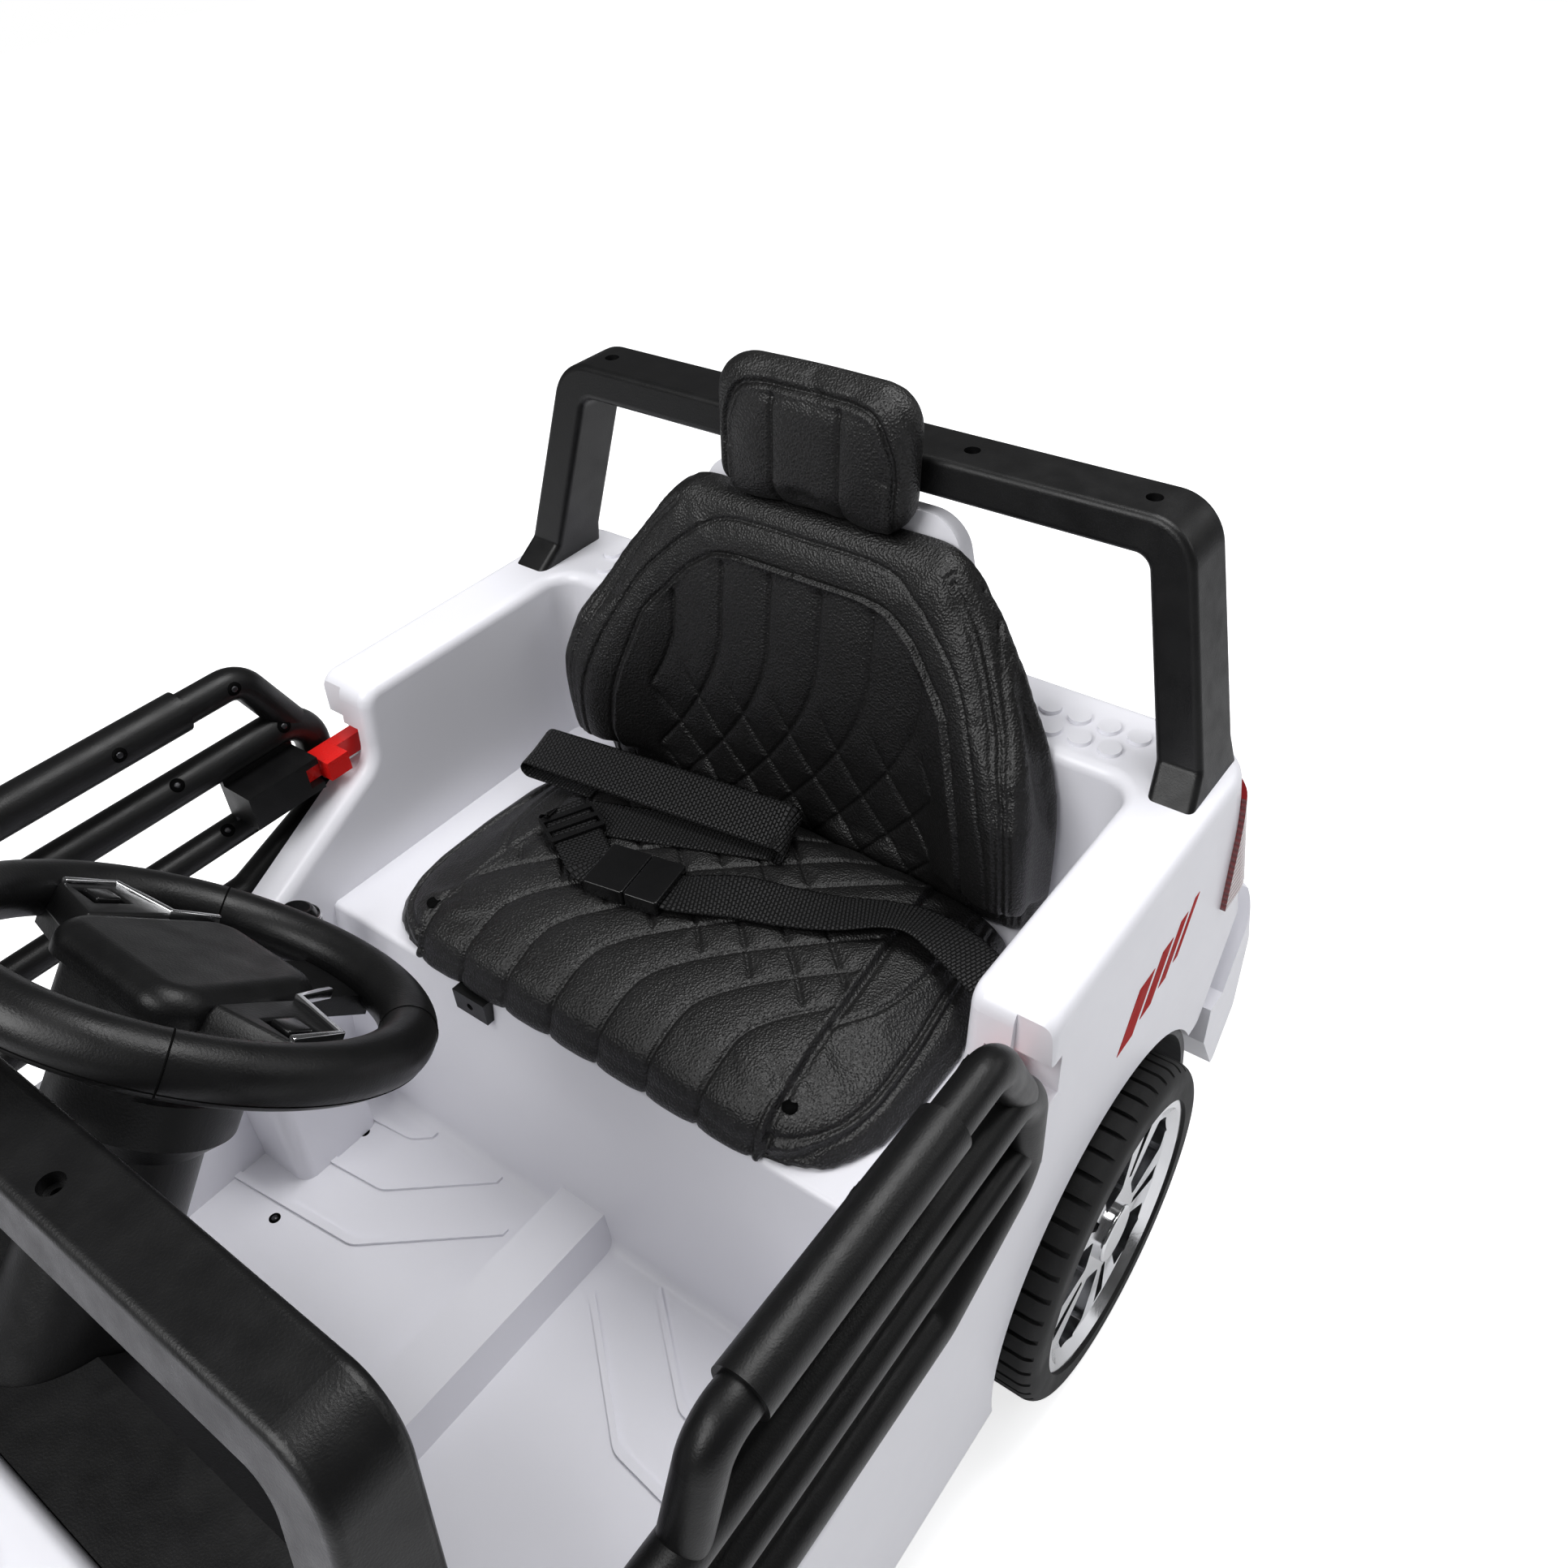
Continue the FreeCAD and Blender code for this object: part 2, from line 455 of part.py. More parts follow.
def soften(body, radius, wanted, kind="PartDesign::Fillet"):
    """Round or bevel the edges of a body that a test picks by their middle points."""
    base = body.Tip
    names = []
    for i, edge in enumerate(base.Shape.Edges, 1):
        middle = edge.valueAt((edge.FirstParameter + edge.LastParameter) / 2)
        if not edge.Degenerated and wanted(middle):
            names.append("Edge%d" % i)
    if not names:
        raise ValueError("no edge to round in " + body.Label)
    feature = body.newObject(kind, "softened")
    feature.Base = (base, names)
    bind(feature, **({"Radius": radius} if kind.endswith("Fillet") else {"Size": radius}))
    DOC.recompute()
    return feature


def repeat(body, feature, axis, count):
    """Polar pattern of a feature, or of several, about one of the body's axes."""
    pattern = body.newObject("PartDesign::PolarPattern", "pattern")
    pattern.Originals = feature if isinstance(feature, list) else [feature]
    line = [item for item in body.Origin.OriginFeatures if item.Role == axis + "_Axis"][0]
    pattern.Axis = (line, [""])
    pattern.Angle = 360
    pattern.Occurrences = count
    body.Tip = pattern
    DOC.recompute()
    return pattern


def near(value, text):
    return abs(value - number(text)) < number("running_gap")


# Tub: side walls, seat deck, footwell and rear deck in one moulding

SIDES = {"left": "1", "right": "-1"}


def across(sign, inner, outer):
    """Pair of X places on one side of the car, lowest first."""
    return (inner, outer) if sign == "1" else ("-(%s)" % outer, "-(%s)" % inner)


def tail_outline(proud="0"):
    """Side view of the tub, optionally standing proud of its rear face."""
    return [("tub_front_y", "sill_bottom"), ("valance_y", "sill_bottom"), ("valance_y", "valance_z"),
            ("tail_low_y + %s" % proud, "valance_z"), ("tail_seam_y + %s" % proud, "tail_seam_z"),
            ("tail_top_y + %s" % proud, "wall_top"), ("pillar_y", "wall_top", "pillar_top_round"),
            ("pillar_low_y", "pillar_low_z", "pillar_low_round"),
            ("sill_flat_y", "sill_flat_z", "sill_round"), ("tub_front_y", "sill_flat_z")]


def on_tail_corner(point, half_width):
    behind = point.y > number("tail_top_y") and point.z > number("valance_z + overrun")
    return behind and near(abs(point.x), half_width)


def make_hump():
    """Moulded hump that backs the seat: a side view and a front view crossed."""
    side = new_body()
    pad(side, "YZ", [("hump_front_y - hump_rake", "deck_top"), ("hump_rear_y", "deck_top"),
                     ("hump_rear_y - hump_rake / 2", "hump_top"), ("hump_front_y + hump_rake", "hump_top"),
                     ("hump_front_y", "wall_top")], "2 * hump_low_half_width", symmetric=True)
    front = new_body()
    pad(front, "XZ", [("-hump_low_half_width", "wall_top - shell_wall"),
                      ("hump_low_half_width", "wall_top - shell_wall"),
                      ("hump_top_half_width", "hump_top", "hump_round"),
                      ("-hump_top_half_width", "hump_top", "hump_round")],
        "hump_rear_y - hump_front_y + hump_rake", offset="-hump_rear_y")
    return common(side, front)


def make_tub():
    body = new_body()
    pad(body, "YZ", tail_outline(), "2 * body_half_width", symmetric=True)
    soften(body, "tail_corner_round", lambda p: on_tail_corner(p, "body_half_width"))
    soften(body, "top_edge_round", lambda p: abs(p.x) > number("inner_half_width") and near(p.z, "wall_top"))
    top = "hump_top + overrun"
    pocket(body, "YZ", [("tub_front_y - overrun", "floor_top"),
                        ("seat_box_foot_y", "floor_top", "pocket_foot_round"),
                        ("seat_box_lip_y", "deck_top", "pocket_lip_round"), ("pocket_rear_y", "deck_top"),
                        ("pocket_rear_y", top), ("tub_front_y - overrun", top)], "2 * inner_half_width",
           symmetric=True)
    soften(body, "pocket_corner_round", lambda p: p.z > number("deck_top + shell_wall")
           and near(abs(p.x), "inner_half_width") and near(p.y, "pocket_rear_y"))
    soften(body, "top_edge_round", lambda p: near(p.z, "wall_top") and near(abs(p.x), "inner_half_width"))
    hollow = [("seat_box_foot_y + shell_wall", "-overrun"),
              ("seat_box_lip_y + shell_wall", "deck_top - shell_wall"),
              ("pocket_rear_y + shell_wall", "deck_top - shell_wall"),
              ("pocket_rear_y + shell_wall", "wall_top - shell_wall"),
              ("tail_top_y - 2 * shell_wall", "wall_top - shell_wall"),
              ("tail_seam_y - 2 * shell_wall", "tail_seam_z"), ("tail_low_y - 2 * shell_wall", "valance_z"),
              ("tail_low_y - 2 * shell_wall", "-overrun")]
    pocket(body, "YZ", hollow, "2 * hollow_half_width", symmetric=True)
    recess = [("tub_front_y - overrun", "sill_recess_z"), ("sill_recess_knee_y", "sill_recess_z"),
              ("sill_recess_rear_y", "sill_recess_rear_z"), ("sill_recess_rear_y", "wall_top + overrun"),
              ("tub_front_y - overrun", "wall_top + overrun")]
    reach = "body_half_width - sill_recess_x + overrun"
    pocket(body, "YZ", recess, reach, offset="sill_recess_x", back=True)
    pocket(body, "YZ", recess, reach, offset="-sill_recess_x")
    pad(body, "XZ", [("-tunnel_half_width - tunnel_flank", "floor_top"),
                     ("tunnel_half_width + tunnel_flank", "floor_top"),
                     ("tunnel_half_width", "floor_top + tunnel_height"),
                     ("-tunnel_half_width", "floor_top + tunnel_height")],
        "seat_box_foot_y + tunnel_flank - tub_front_y", offset="-seat_box_foot_y - tunnel_flank")
    tools = []
    for sign in SIDES.values():
        start = "rear_well_x" if sign == "1" else "-body_half_width - overrun"
        tools.append(rod("X", "rear_arch_radius", "body_half_width + overrun - rear_well_x", start,
                         "rear_axle_y", "wheel_radius"))
        hole = "hollow_half_width - overrun" if sign == "1" else "-rear_well_x - overrun"
        tools.append(rod("X", "drive_hub_hole", "rear_well_x - hollow_half_width + 2 * overrun", hole,
                         "rear_axle_y", "wheel_radius"))
        strike = across(sign, "bolt_inner_x - strike_room", "body_half_width + overrun")
        tools.append(box(strike, ("strike_front_y", "strike_rear_y"), ("strike_low_z", "strike_high_z")))
    tools.append(box(("-tab_x - tab_half_width - clearance", "-tab_x + tab_half_width + clearance"),
                     ("seat_box_foot_y", "tab_rear_y + clearance"), ("tab_low_z", "deck_top + overrun")))
    moulding = join(body, make_hump(), make_console(), *floor_ribs(), *deck_studs())
    shell = cut(moulding, lever_well(), *tools)
    return node("body_shell", shell)


def floor_ribs():
    """Three swept ribs on each side of the footwell floor."""
    ribs = []
    for sign in SIDES.values():
        for i in range(3):
            x, y = "(rib_knee_x + rib_step_x * %d)" % i, "(rib_knee_y + rib_pitch * %d)" % i
            wall = "(inner_half_width + rib_width)"
            inner_x = "rib_inner_x" if i == 0 else "(%s - (rib_rear_y - %s) / tan(rib_rake))" % (x, y)
            line = [(wall, "%s - (%s - %s) * tan(rib_sweep)" % (y, wall, x)), (x, y, "rib_round"),
                    (inner_x, "%s + (%s - %s) * tan(rib_rake)" % (y, x, inner_x))]
            band = line + [(point[0], point[1] + " + rib_width") + point[2:] for point in line[::-1]]
            body = new_body()
            pad(body, "XY", [("%s * %s" % (sign, point[0]),) + point[1:] for point in band],
                "rib_height + rib_width", offset="floor_top - rib_width")
            ribs.append(body)
    return ribs


def deck_studs():
    """Two staggered rows of round studs on each side of the rear deck."""
    studs = []
    for sign in SIDES.values():
        for row in range(2):
            for column in range(4 - row):
                x = "%s * (stud_first_x + stud_pitch * (%d + %d / 2))" % (sign, column, row)
                y = "stud_front_y + stud_pitch * %d" % (1 - row)
                studs.append(rod("Z", "stud_radius", "stud_height + shell_wall / 2", x, y,
                                 "wall_top - shell_wall / 2"))
    return studs


def make_console():
    """White moulded console that carries the direction lever, against the right wall."""
    body = new_body()
    pad(body, "XY", [("-inner_half_width - overrun", "console_front_y"),
                     ("-console_x + console_half_width", "console_front_y", "console_round"),
                     ("-console_x + console_half_width", "console_rear_y", "console_round"),
                     ("-inner_half_width - overrun", "console_rear_y")],
        "console_top - floor_top + overrun", offset="floor_top - overrun")
    soften(body, "console_wall / 2", lambda p: near(p.z, "console_top"))
    return body


def lever_well():
    """Slot in the console for the direction lever."""
    half = "(console_half_width - console_wall)"
    return box(("-console_x - %s" % half, "-console_x + %s" % half),
               ("console_front_y + console_wall", "console_rear_y - console_wall"),
               ("floor_top + console_wall", "console_top + overrun"))


def make_seat_tab():
    """Black tab that locks the seat at the deck's lip."""
    body = new_body()
    pad(body, "XY", rectangle(about("-tab_x", "tab_half_width"), ("tab_front_y", "tab_rear_y")),
        "deck_top - tab_low_z - 2 * clearance", offset="tab_low_z + clearance")
    middle = "(tab_low_z + deck_top) / 2"
    pocket(body, "XZ", {"discs": [("-tab_x", middle, "tab_screw_radius")]},
           "(tab_rear_y - tab_front_y) / 2", offset="-tab_front_y")
    return node("seat_tab", body)


# Front body, bonnet, grille and lamps

def make_front_body():
    body = new_body()
    side = [("tub_front_y", "sill_bottom"), ("front_axle_y", "sill_bottom"), ("front_axle_y", "nose_low_z"),
            ("nose_low_y", "nose_low_z"), ("nose_y", "nose_mid_z"), ("nose_y", "nose_top_z", "nose_round"),
            ("cowl_y", "cowl_z"), ("tub_front_y", "cowl_z")]
    pad(body, "YZ", side, "2 * body_half_width", symmetric=True)
    soften(body, "nose_corner_round", lambda p: near(abs(p.x), "body_half_width") and near(p.y, "nose_y"))
    pocket(body, "YZ", [("tub_front_y + overrun", "floor_top"),
                        ("firewall_y", "floor_top", "pocket_foot_round"),
                        ("firewall_y", "cowl_z + overrun"), ("tub_front_y + overrun", "cowl_z + overrun")],
           "2 * inner_half_width", symmetric=True)
    tools = [box(("-bay_half_width", "bay_half_width"), ("bay_front_y", "bay_rear_y"),
                 ("sill_bottom - overrun", "cowl_z + overrun"))]
    tools.append(box(("-front_well_x - overrun", "front_well_x + overrun"),
                     ("axle_slot_front_y", "axle_slot_rear_y"), ("sill_bottom - overrun", "axle_slot_top")))
    for sign in SIDES.values():
        start = "front_well_x" if sign == "1" else "-body_half_width - overrun"
        tools.append(rod("X", "front_arch_radius", "body_half_width + overrun - front_well_x", start,
                         "front_axle_y", "wheel_radius"))
    tools.append(on_column(rod("Z", "shaft_tunnel_radius", "shaft_end"), "-shaft_end"))
    return node("front_body", cut(body, *tools))


def top_line(y):
    """Height of the front body's sloping top at a place along the car."""
    return "(cowl_z - (cowl_z - nose_top_z) * (cowl_y - (%s)) / (cowl_y - nose_y))" % y


def make_bonnet():
    body = new_body()
    front, rear = top_line("bonnet_front_y"), top_line("bonnet_rear_y")
    pad(body, "YZ", [("bonnet_front_y", front), ("bonnet_rear_y", rear),
                     ("bonnet_rear_y", rear + " + bonnet_thickness"),
                     ("bonnet_front_y", front + " + bonnet_thickness")], "2 * bonnet_half_width",
        symmetric=True)
    soften(body, "bonnet_round", lambda p: near(abs(p.x), "bonnet_half_width")
           and (near(p.y, "bonnet_front_y") or near(p.y, "bonnet_rear_y")))
    high = number("bonnet_thickness") / 2
    slope = number("cowl_z - nose_top_z") / number("cowl_y - nose_y")
    soften(body, "bonnet_thickness / 2",
           lambda p: p.z > number("cowl_z") + slope * (p.y - number("cowl_y")) + high * 1.5)
    pad(body, "XY", rectangle(even("scoop_half_width"), ("scoop_front_y", "scoop_rear_y"), "scoop_round"),
        "scoop_height + bonnet_thickness / 2", offset=rear + " + bonnet_thickness / 2 - scoop_height / 2")
    soften(body, "scoop_height / 4", lambda p: near(p.z, rear + " + bonnet_thickness + scoop_height / 2"))
    return node("bonnet", body)


def make_grille():
    body = new_body()
    pad(body, "XZ", rectangle(even("grille_half_width"), ("grille_low_z", "grille_high_z"), "grille_round"),
        "grille_thickness", offset="-nose_y")
    soften(body, "grille_thickness / 3", lambda p: near(p.y, "nose_y - grille_thickness"))
    for i in range(-3, 4):
        across_slot = about("%d * grille_slot_pitch" % i, "grille_slot_width / 2")
        slot = rectangle(across_slot, ("grille_slot_low_z", "grille_slot_high_z"), "grille_slot_width / 3")
        pocket(body, "XZ", slot, "grille_thickness * 2 / 3", offset="-nose_y + grille_thickness")
    for sign in SIDES.values():
        pocket(body, "XZ", {"discs": [(sign + " * lamp_x", "lamp_z", "lamp_radius + clearance")]},
               "grille_thickness + overrun", offset="-nose_y + grille_thickness")
    return node("front_grille", body)


def make_headlights():
    lamps = []
    for sign in SIDES.values():
        lens = new_body()
        revolve(lens, "XY", [("0", "0"), ("lamp_radius", "0"), ("lamp_radius", "-grille_thickness"),
                             ("lamp_radius * 2 / 3", "-lamp_dome", "lamp_radius / 4"), ("0", "-lamp_dome")],
                "Y")
        lamps.append(place(lens, sign + " * lamp_x", "nose_y", "lamp_z"))
    return node("headlights", group(*lamps))


# Bumpers, tail lamps and arch liners

def make_front_bumper():
    """Bumper blade with cut-up lower corners and an intake, on a block under the nose."""
    body = new_body()
    high, cut_up = "nose_low_z - clearance", "front_bumper_low_z + front_bumper_cut"
    half = [("front_bumper_half_width - front_bumper_sweep", "front_bumper_low_z", "front_bumper_round"),
            ("front_bumper_half_width", cut_up, "front_bumper_round"),
            ("front_bumper_half_width", high, "front_bumper_round")]
    face = half + [("-(%s)" % corner[0],) + corner[1:] for corner in half[::-1]]
    thickness = "front_bumper_end_y - front_bumper_y"
    pad(body, "XZ", face, thickness, offset="-front_bumper_end_y")
    soften(body, "(%s) / 3" % thickness, lambda p: near(p.y, "front_bumper_y"))
    pad(body, "XZ", rectangle(even("front_bumper_inner_x"), ("front_bumper_low_z", high)),
        "front_bumper_rear_y - front_bumper_end_y", offset="-front_bumper_rear_y")
    intake = rectangle(even("intake_half_width"), ("intake_low_z", "intake_high_z"),
                       "(intake_high_z - intake_low_z) / 3")
    pocket(body, "XZ", intake, "(%s) / 2" % thickness, offset="-front_bumper_y")
    return node("front_bumper", body)


def make_rear_bumper():
    body = new_body()
    seam = "clearance * 2"
    pad(body, "YZ", [("rear_bumper_front_y", "valance_z - clearance"),
                     ("tail_low_y + " + seam, "valance_z - clearance"),
                     ("tail_seam_y + " + seam, "tail_seam_z"),
                     ("rear_bumper_shoulder_y", "tail_seam_z - shell_wall / 3"),
                     ("rear_bumper_y", "rear_bumper_face_z"), ("rear_bumper_y", "rear_bumper_chin_z"),
                     ("rear_bumper_chin_y", "rear_bumper_low_z"),
                     ("rear_bumper_tip_y", "rear_bumper_low_z"),
                     ("rear_bumper_front_y", "rear_bumper_front_z")], "2 * rear_bumper_half_width",
        symmetric=True)
    soften(body, "bumper_corner_round", lambda p: near(abs(p.x), "rear_bumper_half_width")
           and p.y > number("rear_bumper_chin_y") and p.z < number("tail_seam_z - overrun"))
    pocket(body, "YZ", [("rear_bumper_front_y - overrun", "-overrun"), ("tail_low_y", "-overrun"),
                        ("tail_low_y", "valance_z - shell_wall"),
                        ("rear_bumper_front_y - overrun", "valance_z - shell_wall")],
           "2 * hollow_half_width", symmetric=True)
    return node("rear_bumper", body)


def make_tail_lamps():
    form = new_body()
    pad(form, "YZ", tail_outline("tail_lamp_proud"), "2 * (body_half_width + tail_lamp_proud)",
        symmetric=True)
    soften(form, "tail_corner_round + tail_lamp_proud",
           lambda p: on_tail_corner(p, "body_half_width + tail_lamp_proud"))
    zones = []
    for sign in SIDES.values():
        zones.append(box(across(sign, "tail_lamp_inner_x", "body_half_width * 2"),
                         ("tail_lamp_front_y", "rear_bumper_y"), ("tail_lamp_low_z", "tail_lamp_high_z")))
    core = new_body()
    pad(core, "YZ", tail_outline(), "2 * body_half_width", symmetric=True)
    soften(core, "tail_corner_round", lambda p: on_tail_corner(p, "body_half_width"))
    return node("tail_lights", cut(common(form, group(*zones)), core))


def make_arch_liners():
    liners = []
    for sign in SIDES.values():
        start = "rear_well_x + clearance" if sign == "1" else "-body_half_width + overrun"
        length = "body_half_width - overrun - rear_well_x - clearance"
        outer = "rear_arch_radius - clearance"
        ring = cut(rod("X", outer, length, start, "rear_axle_y", "wheel_radius"),
                   rod("X", outer + " - liner_thickness", length, start, "rear_axle_y", "wheel_radius"))
        below = box(even("body_half_width"), ("pan_mid_rear_y", "rear_bumper_front_y"),
                    ("-rear_arch_radius", "liner_low_z"))
        liners.append(cut(ring, below))
    return node("arch_liners", group(*liners))


# Chassis pan with its king-pin ears and axle stands

def make_pan():
    plate = new_body()
    half = [("pan_front_half_width", "pan_front_y"), ("pan_front_half_width", "pan_mid_front_y"),
            ("pan_mid_half_width", "pan_mid_front_y"), ("pan_mid_half_width", "pan_mid_rear_y"),
            ("pan_rear_half_width", "pan_mid_rear_y"), ("pan_rear_half_width", "pan_rear_y")]
    plan = half + [("-" + x, y) for x, y in half[::-1]]
    pad(plate, "XY", plan, "sill_bottom - pan_bottom", offset="pan_bottom")
    solids, tools = [plate], []
    for sign in SIDES.values():
        web = across(sign, "pan_front_half_width - overrun", "king_web_x + king_web_thickness")
        ear = across(sign, "king_web_x", "king_pin_x")
        depth = about("front_axle_y", "king_ear_round")
        solids.append(box(web, depth, ("pan_bottom", "king_ear_top")))
        for low in ("pan_bottom", "king_ear_top - king_ear_thickness"):
            solids.append(box(ear, depth, (low, low + " + king_ear_thickness")))
            pin_x = sign + " * king_pin_x"
            solids.append(rod("Z", "king_ear_round", "king_ear_thickness", pin_x, "front_axle_y", low))
        tools.append(rod("Z", "king_pin_radius + running_gap", "king_ear_top", pin_x, "front_axle_y",
                         "pan_bottom - overrun"))
        solids.append(box(about(sign + " * axle_stand_x", "axle_stand_thickness / 2"),
                          about("rear_axle_y", "axle_stand_half_depth"), ("pan_bottom", "axle_stand_top")))
    tools.append(rod("X", "axle_radius + running_gap", "4 * axle_stand_x", "-2 * axle_stand_x",
                     "rear_axle_y", "wheel_radius"))
    return node("chassis_pan", cut(join(*solids), *tools))


def make_rear_axle():
    return node("rear_axle", rod("X", "axle_radius", "2 * axle_half_length", "-axle_half_length",
                                 "rear_axle_y", "wheel_radius"))


def make_drive(side, sign):
    """Gearbox on the axle and the motor that drives it."""
    inner = "gearbox_inner_x" if sign == "1" else "-gearbox_outer_x"
    width = "gearbox_outer_x - gearbox_inner_x"
    motor_y = "rear_axle_y - motor_offset_y"
    case = join(rod("X", "gearbox_radius", width, inner, "rear_axle_y", "wheel_radius"),
                rod("X", "gearbox_motor_radius", width, inner, motor_y, "motor_z"),
                box((inner, "%s + %s" % (inner, width)), (motor_y, "rear_axle_y"),
                    ("wheel_radius - gearbox_motor_radius / 2", "motor_z + gearbox_motor_radius / 2")))
    bore = rod("X", "axle_radius + running_gap", width + " + 2 * overrun", inner + " - overrun",
               "rear_axle_y", "wheel_radius")
    node("gearbox_" + side, cut(case, bore))
    can = "gearbox_inner_x - motor_length" if sign == "1" else "-gearbox_inner_x"
    cap = can + " - motor_shaft_length" if sign == "1" else can + " + motor_length"
    node("motor_" + side, join(rod("X", "motor_radius", "motor_length", can, motor_y, "motor_z"),
                               rod("X", "motor_radius / 2", "motor_shaft_length", cap, motor_y, "motor_z")))


def make_battery():
    body = new_body()
    pad(body, "XY", rectangle(even("battery_half_width"), ("battery_front_y", "battery_rear_y")),
        "battery_height", offset="sill_bottom")
    soften(body, "battery_round", lambda p: not near(p.z, "sill_bottom"))
    posts = []
    for sign in SIDES.values():
        posts.append((sign + " * battery_half_width * 2 / 3", "(battery_front_y + battery_rear_y) / 2",
                      "battery_terminal / 2"))
    pad(body, "XY", {"discs": posts}, "battery_terminal", offset="sill_bottom + battery_height")
    return node("battery", body)


def make_control_box():
    body = new_body()
    pad(body, "XY", rectangle(even("control_half_width"), ("control_front_y", "control_rear_y")),
        "control_height", offset="sill_bottom")
    soften(body, "control_round", lambda p: not near(p.z, "sill_bottom"))
    return node("control_box", body)


# Wheels

TREAD_GROOVES = 48


def make_tyre(name, sign, axle_y):
    body = new_body()
    face, inner = sign + " * tyre_face_x", "%s * (tyre_face_x - tyre_width)" % sign
    revolve(body, "XY", [(face, "rim_radius"), (face, "wheel_radius", "tyre_shoulder"),
                         (inner, "wheel_radius", "tyre_shoulder"), (inner, "rim_radius")], "X")
    far = "%s * (tyre_face_x + overrun)" % sign
    low = "%s * (tyre_face_x - tread_groove_length)" % sign
    groove = pocket(body, "XY", rectangle((low, far),
                                          ("wheel_radius - tread_groove_depth", "wheel_radius + overrun")),
                    "tread_groove_width", symmetric=True)
    repeat(body, groove, "X", TREAD_GROOVES)
    return node(name, place(body, "0", axle_y, "wheel_radius"))


def make_rim(name, sign, axle_y, hub_end, hub_radius):
    """Dished five-spoke rim with twin spokes, hub and centre cap."""
    body = new_body()
    face = "tyre_face_x - rim_dish"
    inner = "tyre_face_x - tyre_width + rim_edge"
    outer = "tyre_face_x - rim_edge"
    bore, edge = "axle_radius + running_gap", "rim_radius - clearance"
    section = [(hub_end, bore), ("axle_half_length + clearance", bore),
               ("axle_half_length + clearance", "0"), (face + " + rim_cap_height", "0"),
               (face + " + rim_cap_height", "rim_cap_radius", "rim_edge"), (face, "rim_cap_radius"),
               (face, "spoke_window_outer"), (outer, "rim_radius - rim_barrel"), (outer, edge),
               (inner, edge), (inner, "rim_radius - rim_barrel"),
               (face + " - rim_plate", "rim_radius - rim_barrel"), (face + " - rim_plate", hub_radius),
               (hub_end, hub_radius)]
    revolve(body, "XY", [("%s * (%s)" % (sign, corner[0]),) + corner[1:] for corner in section], "X")
    window = [("-window_inner_half", "spoke_window_inner", "window_round"),
              ("window_inner_half", "spoke_window_inner", "window_round"),
              ("window_outer_half", "window_shoulder", "window_round"),
              ("window_inner_half", "spoke_window_outer"), ("-window_inner_half", "spoke_window_outer"),
              ("-window_outer_half", "window_shoulder", "window_round")]
    slot = [("-slot_inner_half", "-slot_inner"), ("-slot_outer_half", "-slot_outer"),
            ("slot_outer_half", "-slot_outer"), ("slot_inner_half", "-slot_inner")]
    start = "%s * (tyre_face_x + overrun)" % sign
    cuts = []
    for shape in (window, slot):
        cuts.append(pocket(body, "YZ", shape, "rim_dish + rim_plate + 2 * overrun", offset=start,
                           back=sign == "-1"))
    repeat(body, cuts, "X", 5)
    return node(name, place(body, "0", axle_y, "wheel_radius"))


# Front suspension and steering linkage

def make_knuckle(side, sign):
    """King pin, stub axle and steering arm in one piece."""
    x = sign + " * king_pin_x"
    low, high = "pan_bottom + king_ear_thickness + clearance", "king_ear_top - king_ear_thickness - clearance"
    stub = "king_pin_x" if sign == "1" else "-axle_half_length"
    arm_y = "front_axle_y - steer_arm_length"
    solids = [rod("Z", "king_pin_radius", "king_ear_top - pan_bottom", x, "front_axle_y", "pan_bottom"),
              rod("Z", "knuckle_radius", "%s - (%s)" % (high, low), x, "front_axle_y", low),
              rod("X", "axle_radius", "axle_half_length - king_pin_x", stub, "front_axle_y",
                  "wheel_radius"), box((x + " - steer_arm_half_width", x + " + steer_arm_half_width"),
                                       (arm_y, "front_axle_y"), ("steer_arm_low_z", "steer_arm_high_z")),
              rod("Z", "steer_arm_half_width", "steer_arm_high_z - steer_arm_low_z", x, arm_y,
                  "steer_arm_low_z"), rod("Z", "tie_pin_radius", "tie_pin_top - steer_arm_low_z", x, arm_y,
                                          "steer_arm_low_z")]
    return node("steering_knuckle_" + side, join(*solids))


def make_tie_rod():
    """Bar with a slotted eye over each arm's pin and a fork round the crank's pin."""
    y = "front_axle_y - steer_arm_length"
    depth = ("%s - tie_rod_half_depth - tie_slot_rear" % y, "%s + tie_rod_half_depth + tie_slot_rear" % y)
    solids = [box(("-king_pin_x", "king_pin_x"), (y + " - tie_rod_half_depth", y + " + tie_rod_half_depth"),
                  ("tie_rod_low_z", "tie_rod_high_z"))]
    tools = []
    for sign in SIDES.values():
        x = sign + " * king_pin_x"
        solids.append(box((x + " - tie_rod_end", x + " + tie_rod_end"), depth,
                          ("tie_rod_low_z", "tie_rod_high_z")))
        tools.append(box((x + " - tie_slot_half_width", x + " + tie_slot_half_width"),
                         (y + " - tie_slot_half_width", y + " + tie_slot_half_width + tie_slot_rear"),
                         ("tie_rod_low_z - overrun", "tie_rod_high_z + overrun")))
        prong = "fork_gap" if sign == "1" else "-fork_gap - fork_thickness"
        solids.append(box((prong, prong + " + fork_thickness"), ("fork_front_y", y),
                          ("tie_rod_low_z", "fork_top_z")))
    return node("tie_rod", cut(join(*solids), *tools))


def on_column(thing, along="0"):
    """Tilt a part that was built about Z onto the steering column, a distance along it."""
    away = "(%s)" % along
    return place(thing, "0", "steer_y + %s * sin(column_tilt)" % away,
                 "steer_z + %s * cos(column_tilt)" % away, (1, 0, 0), "-column_tilt")


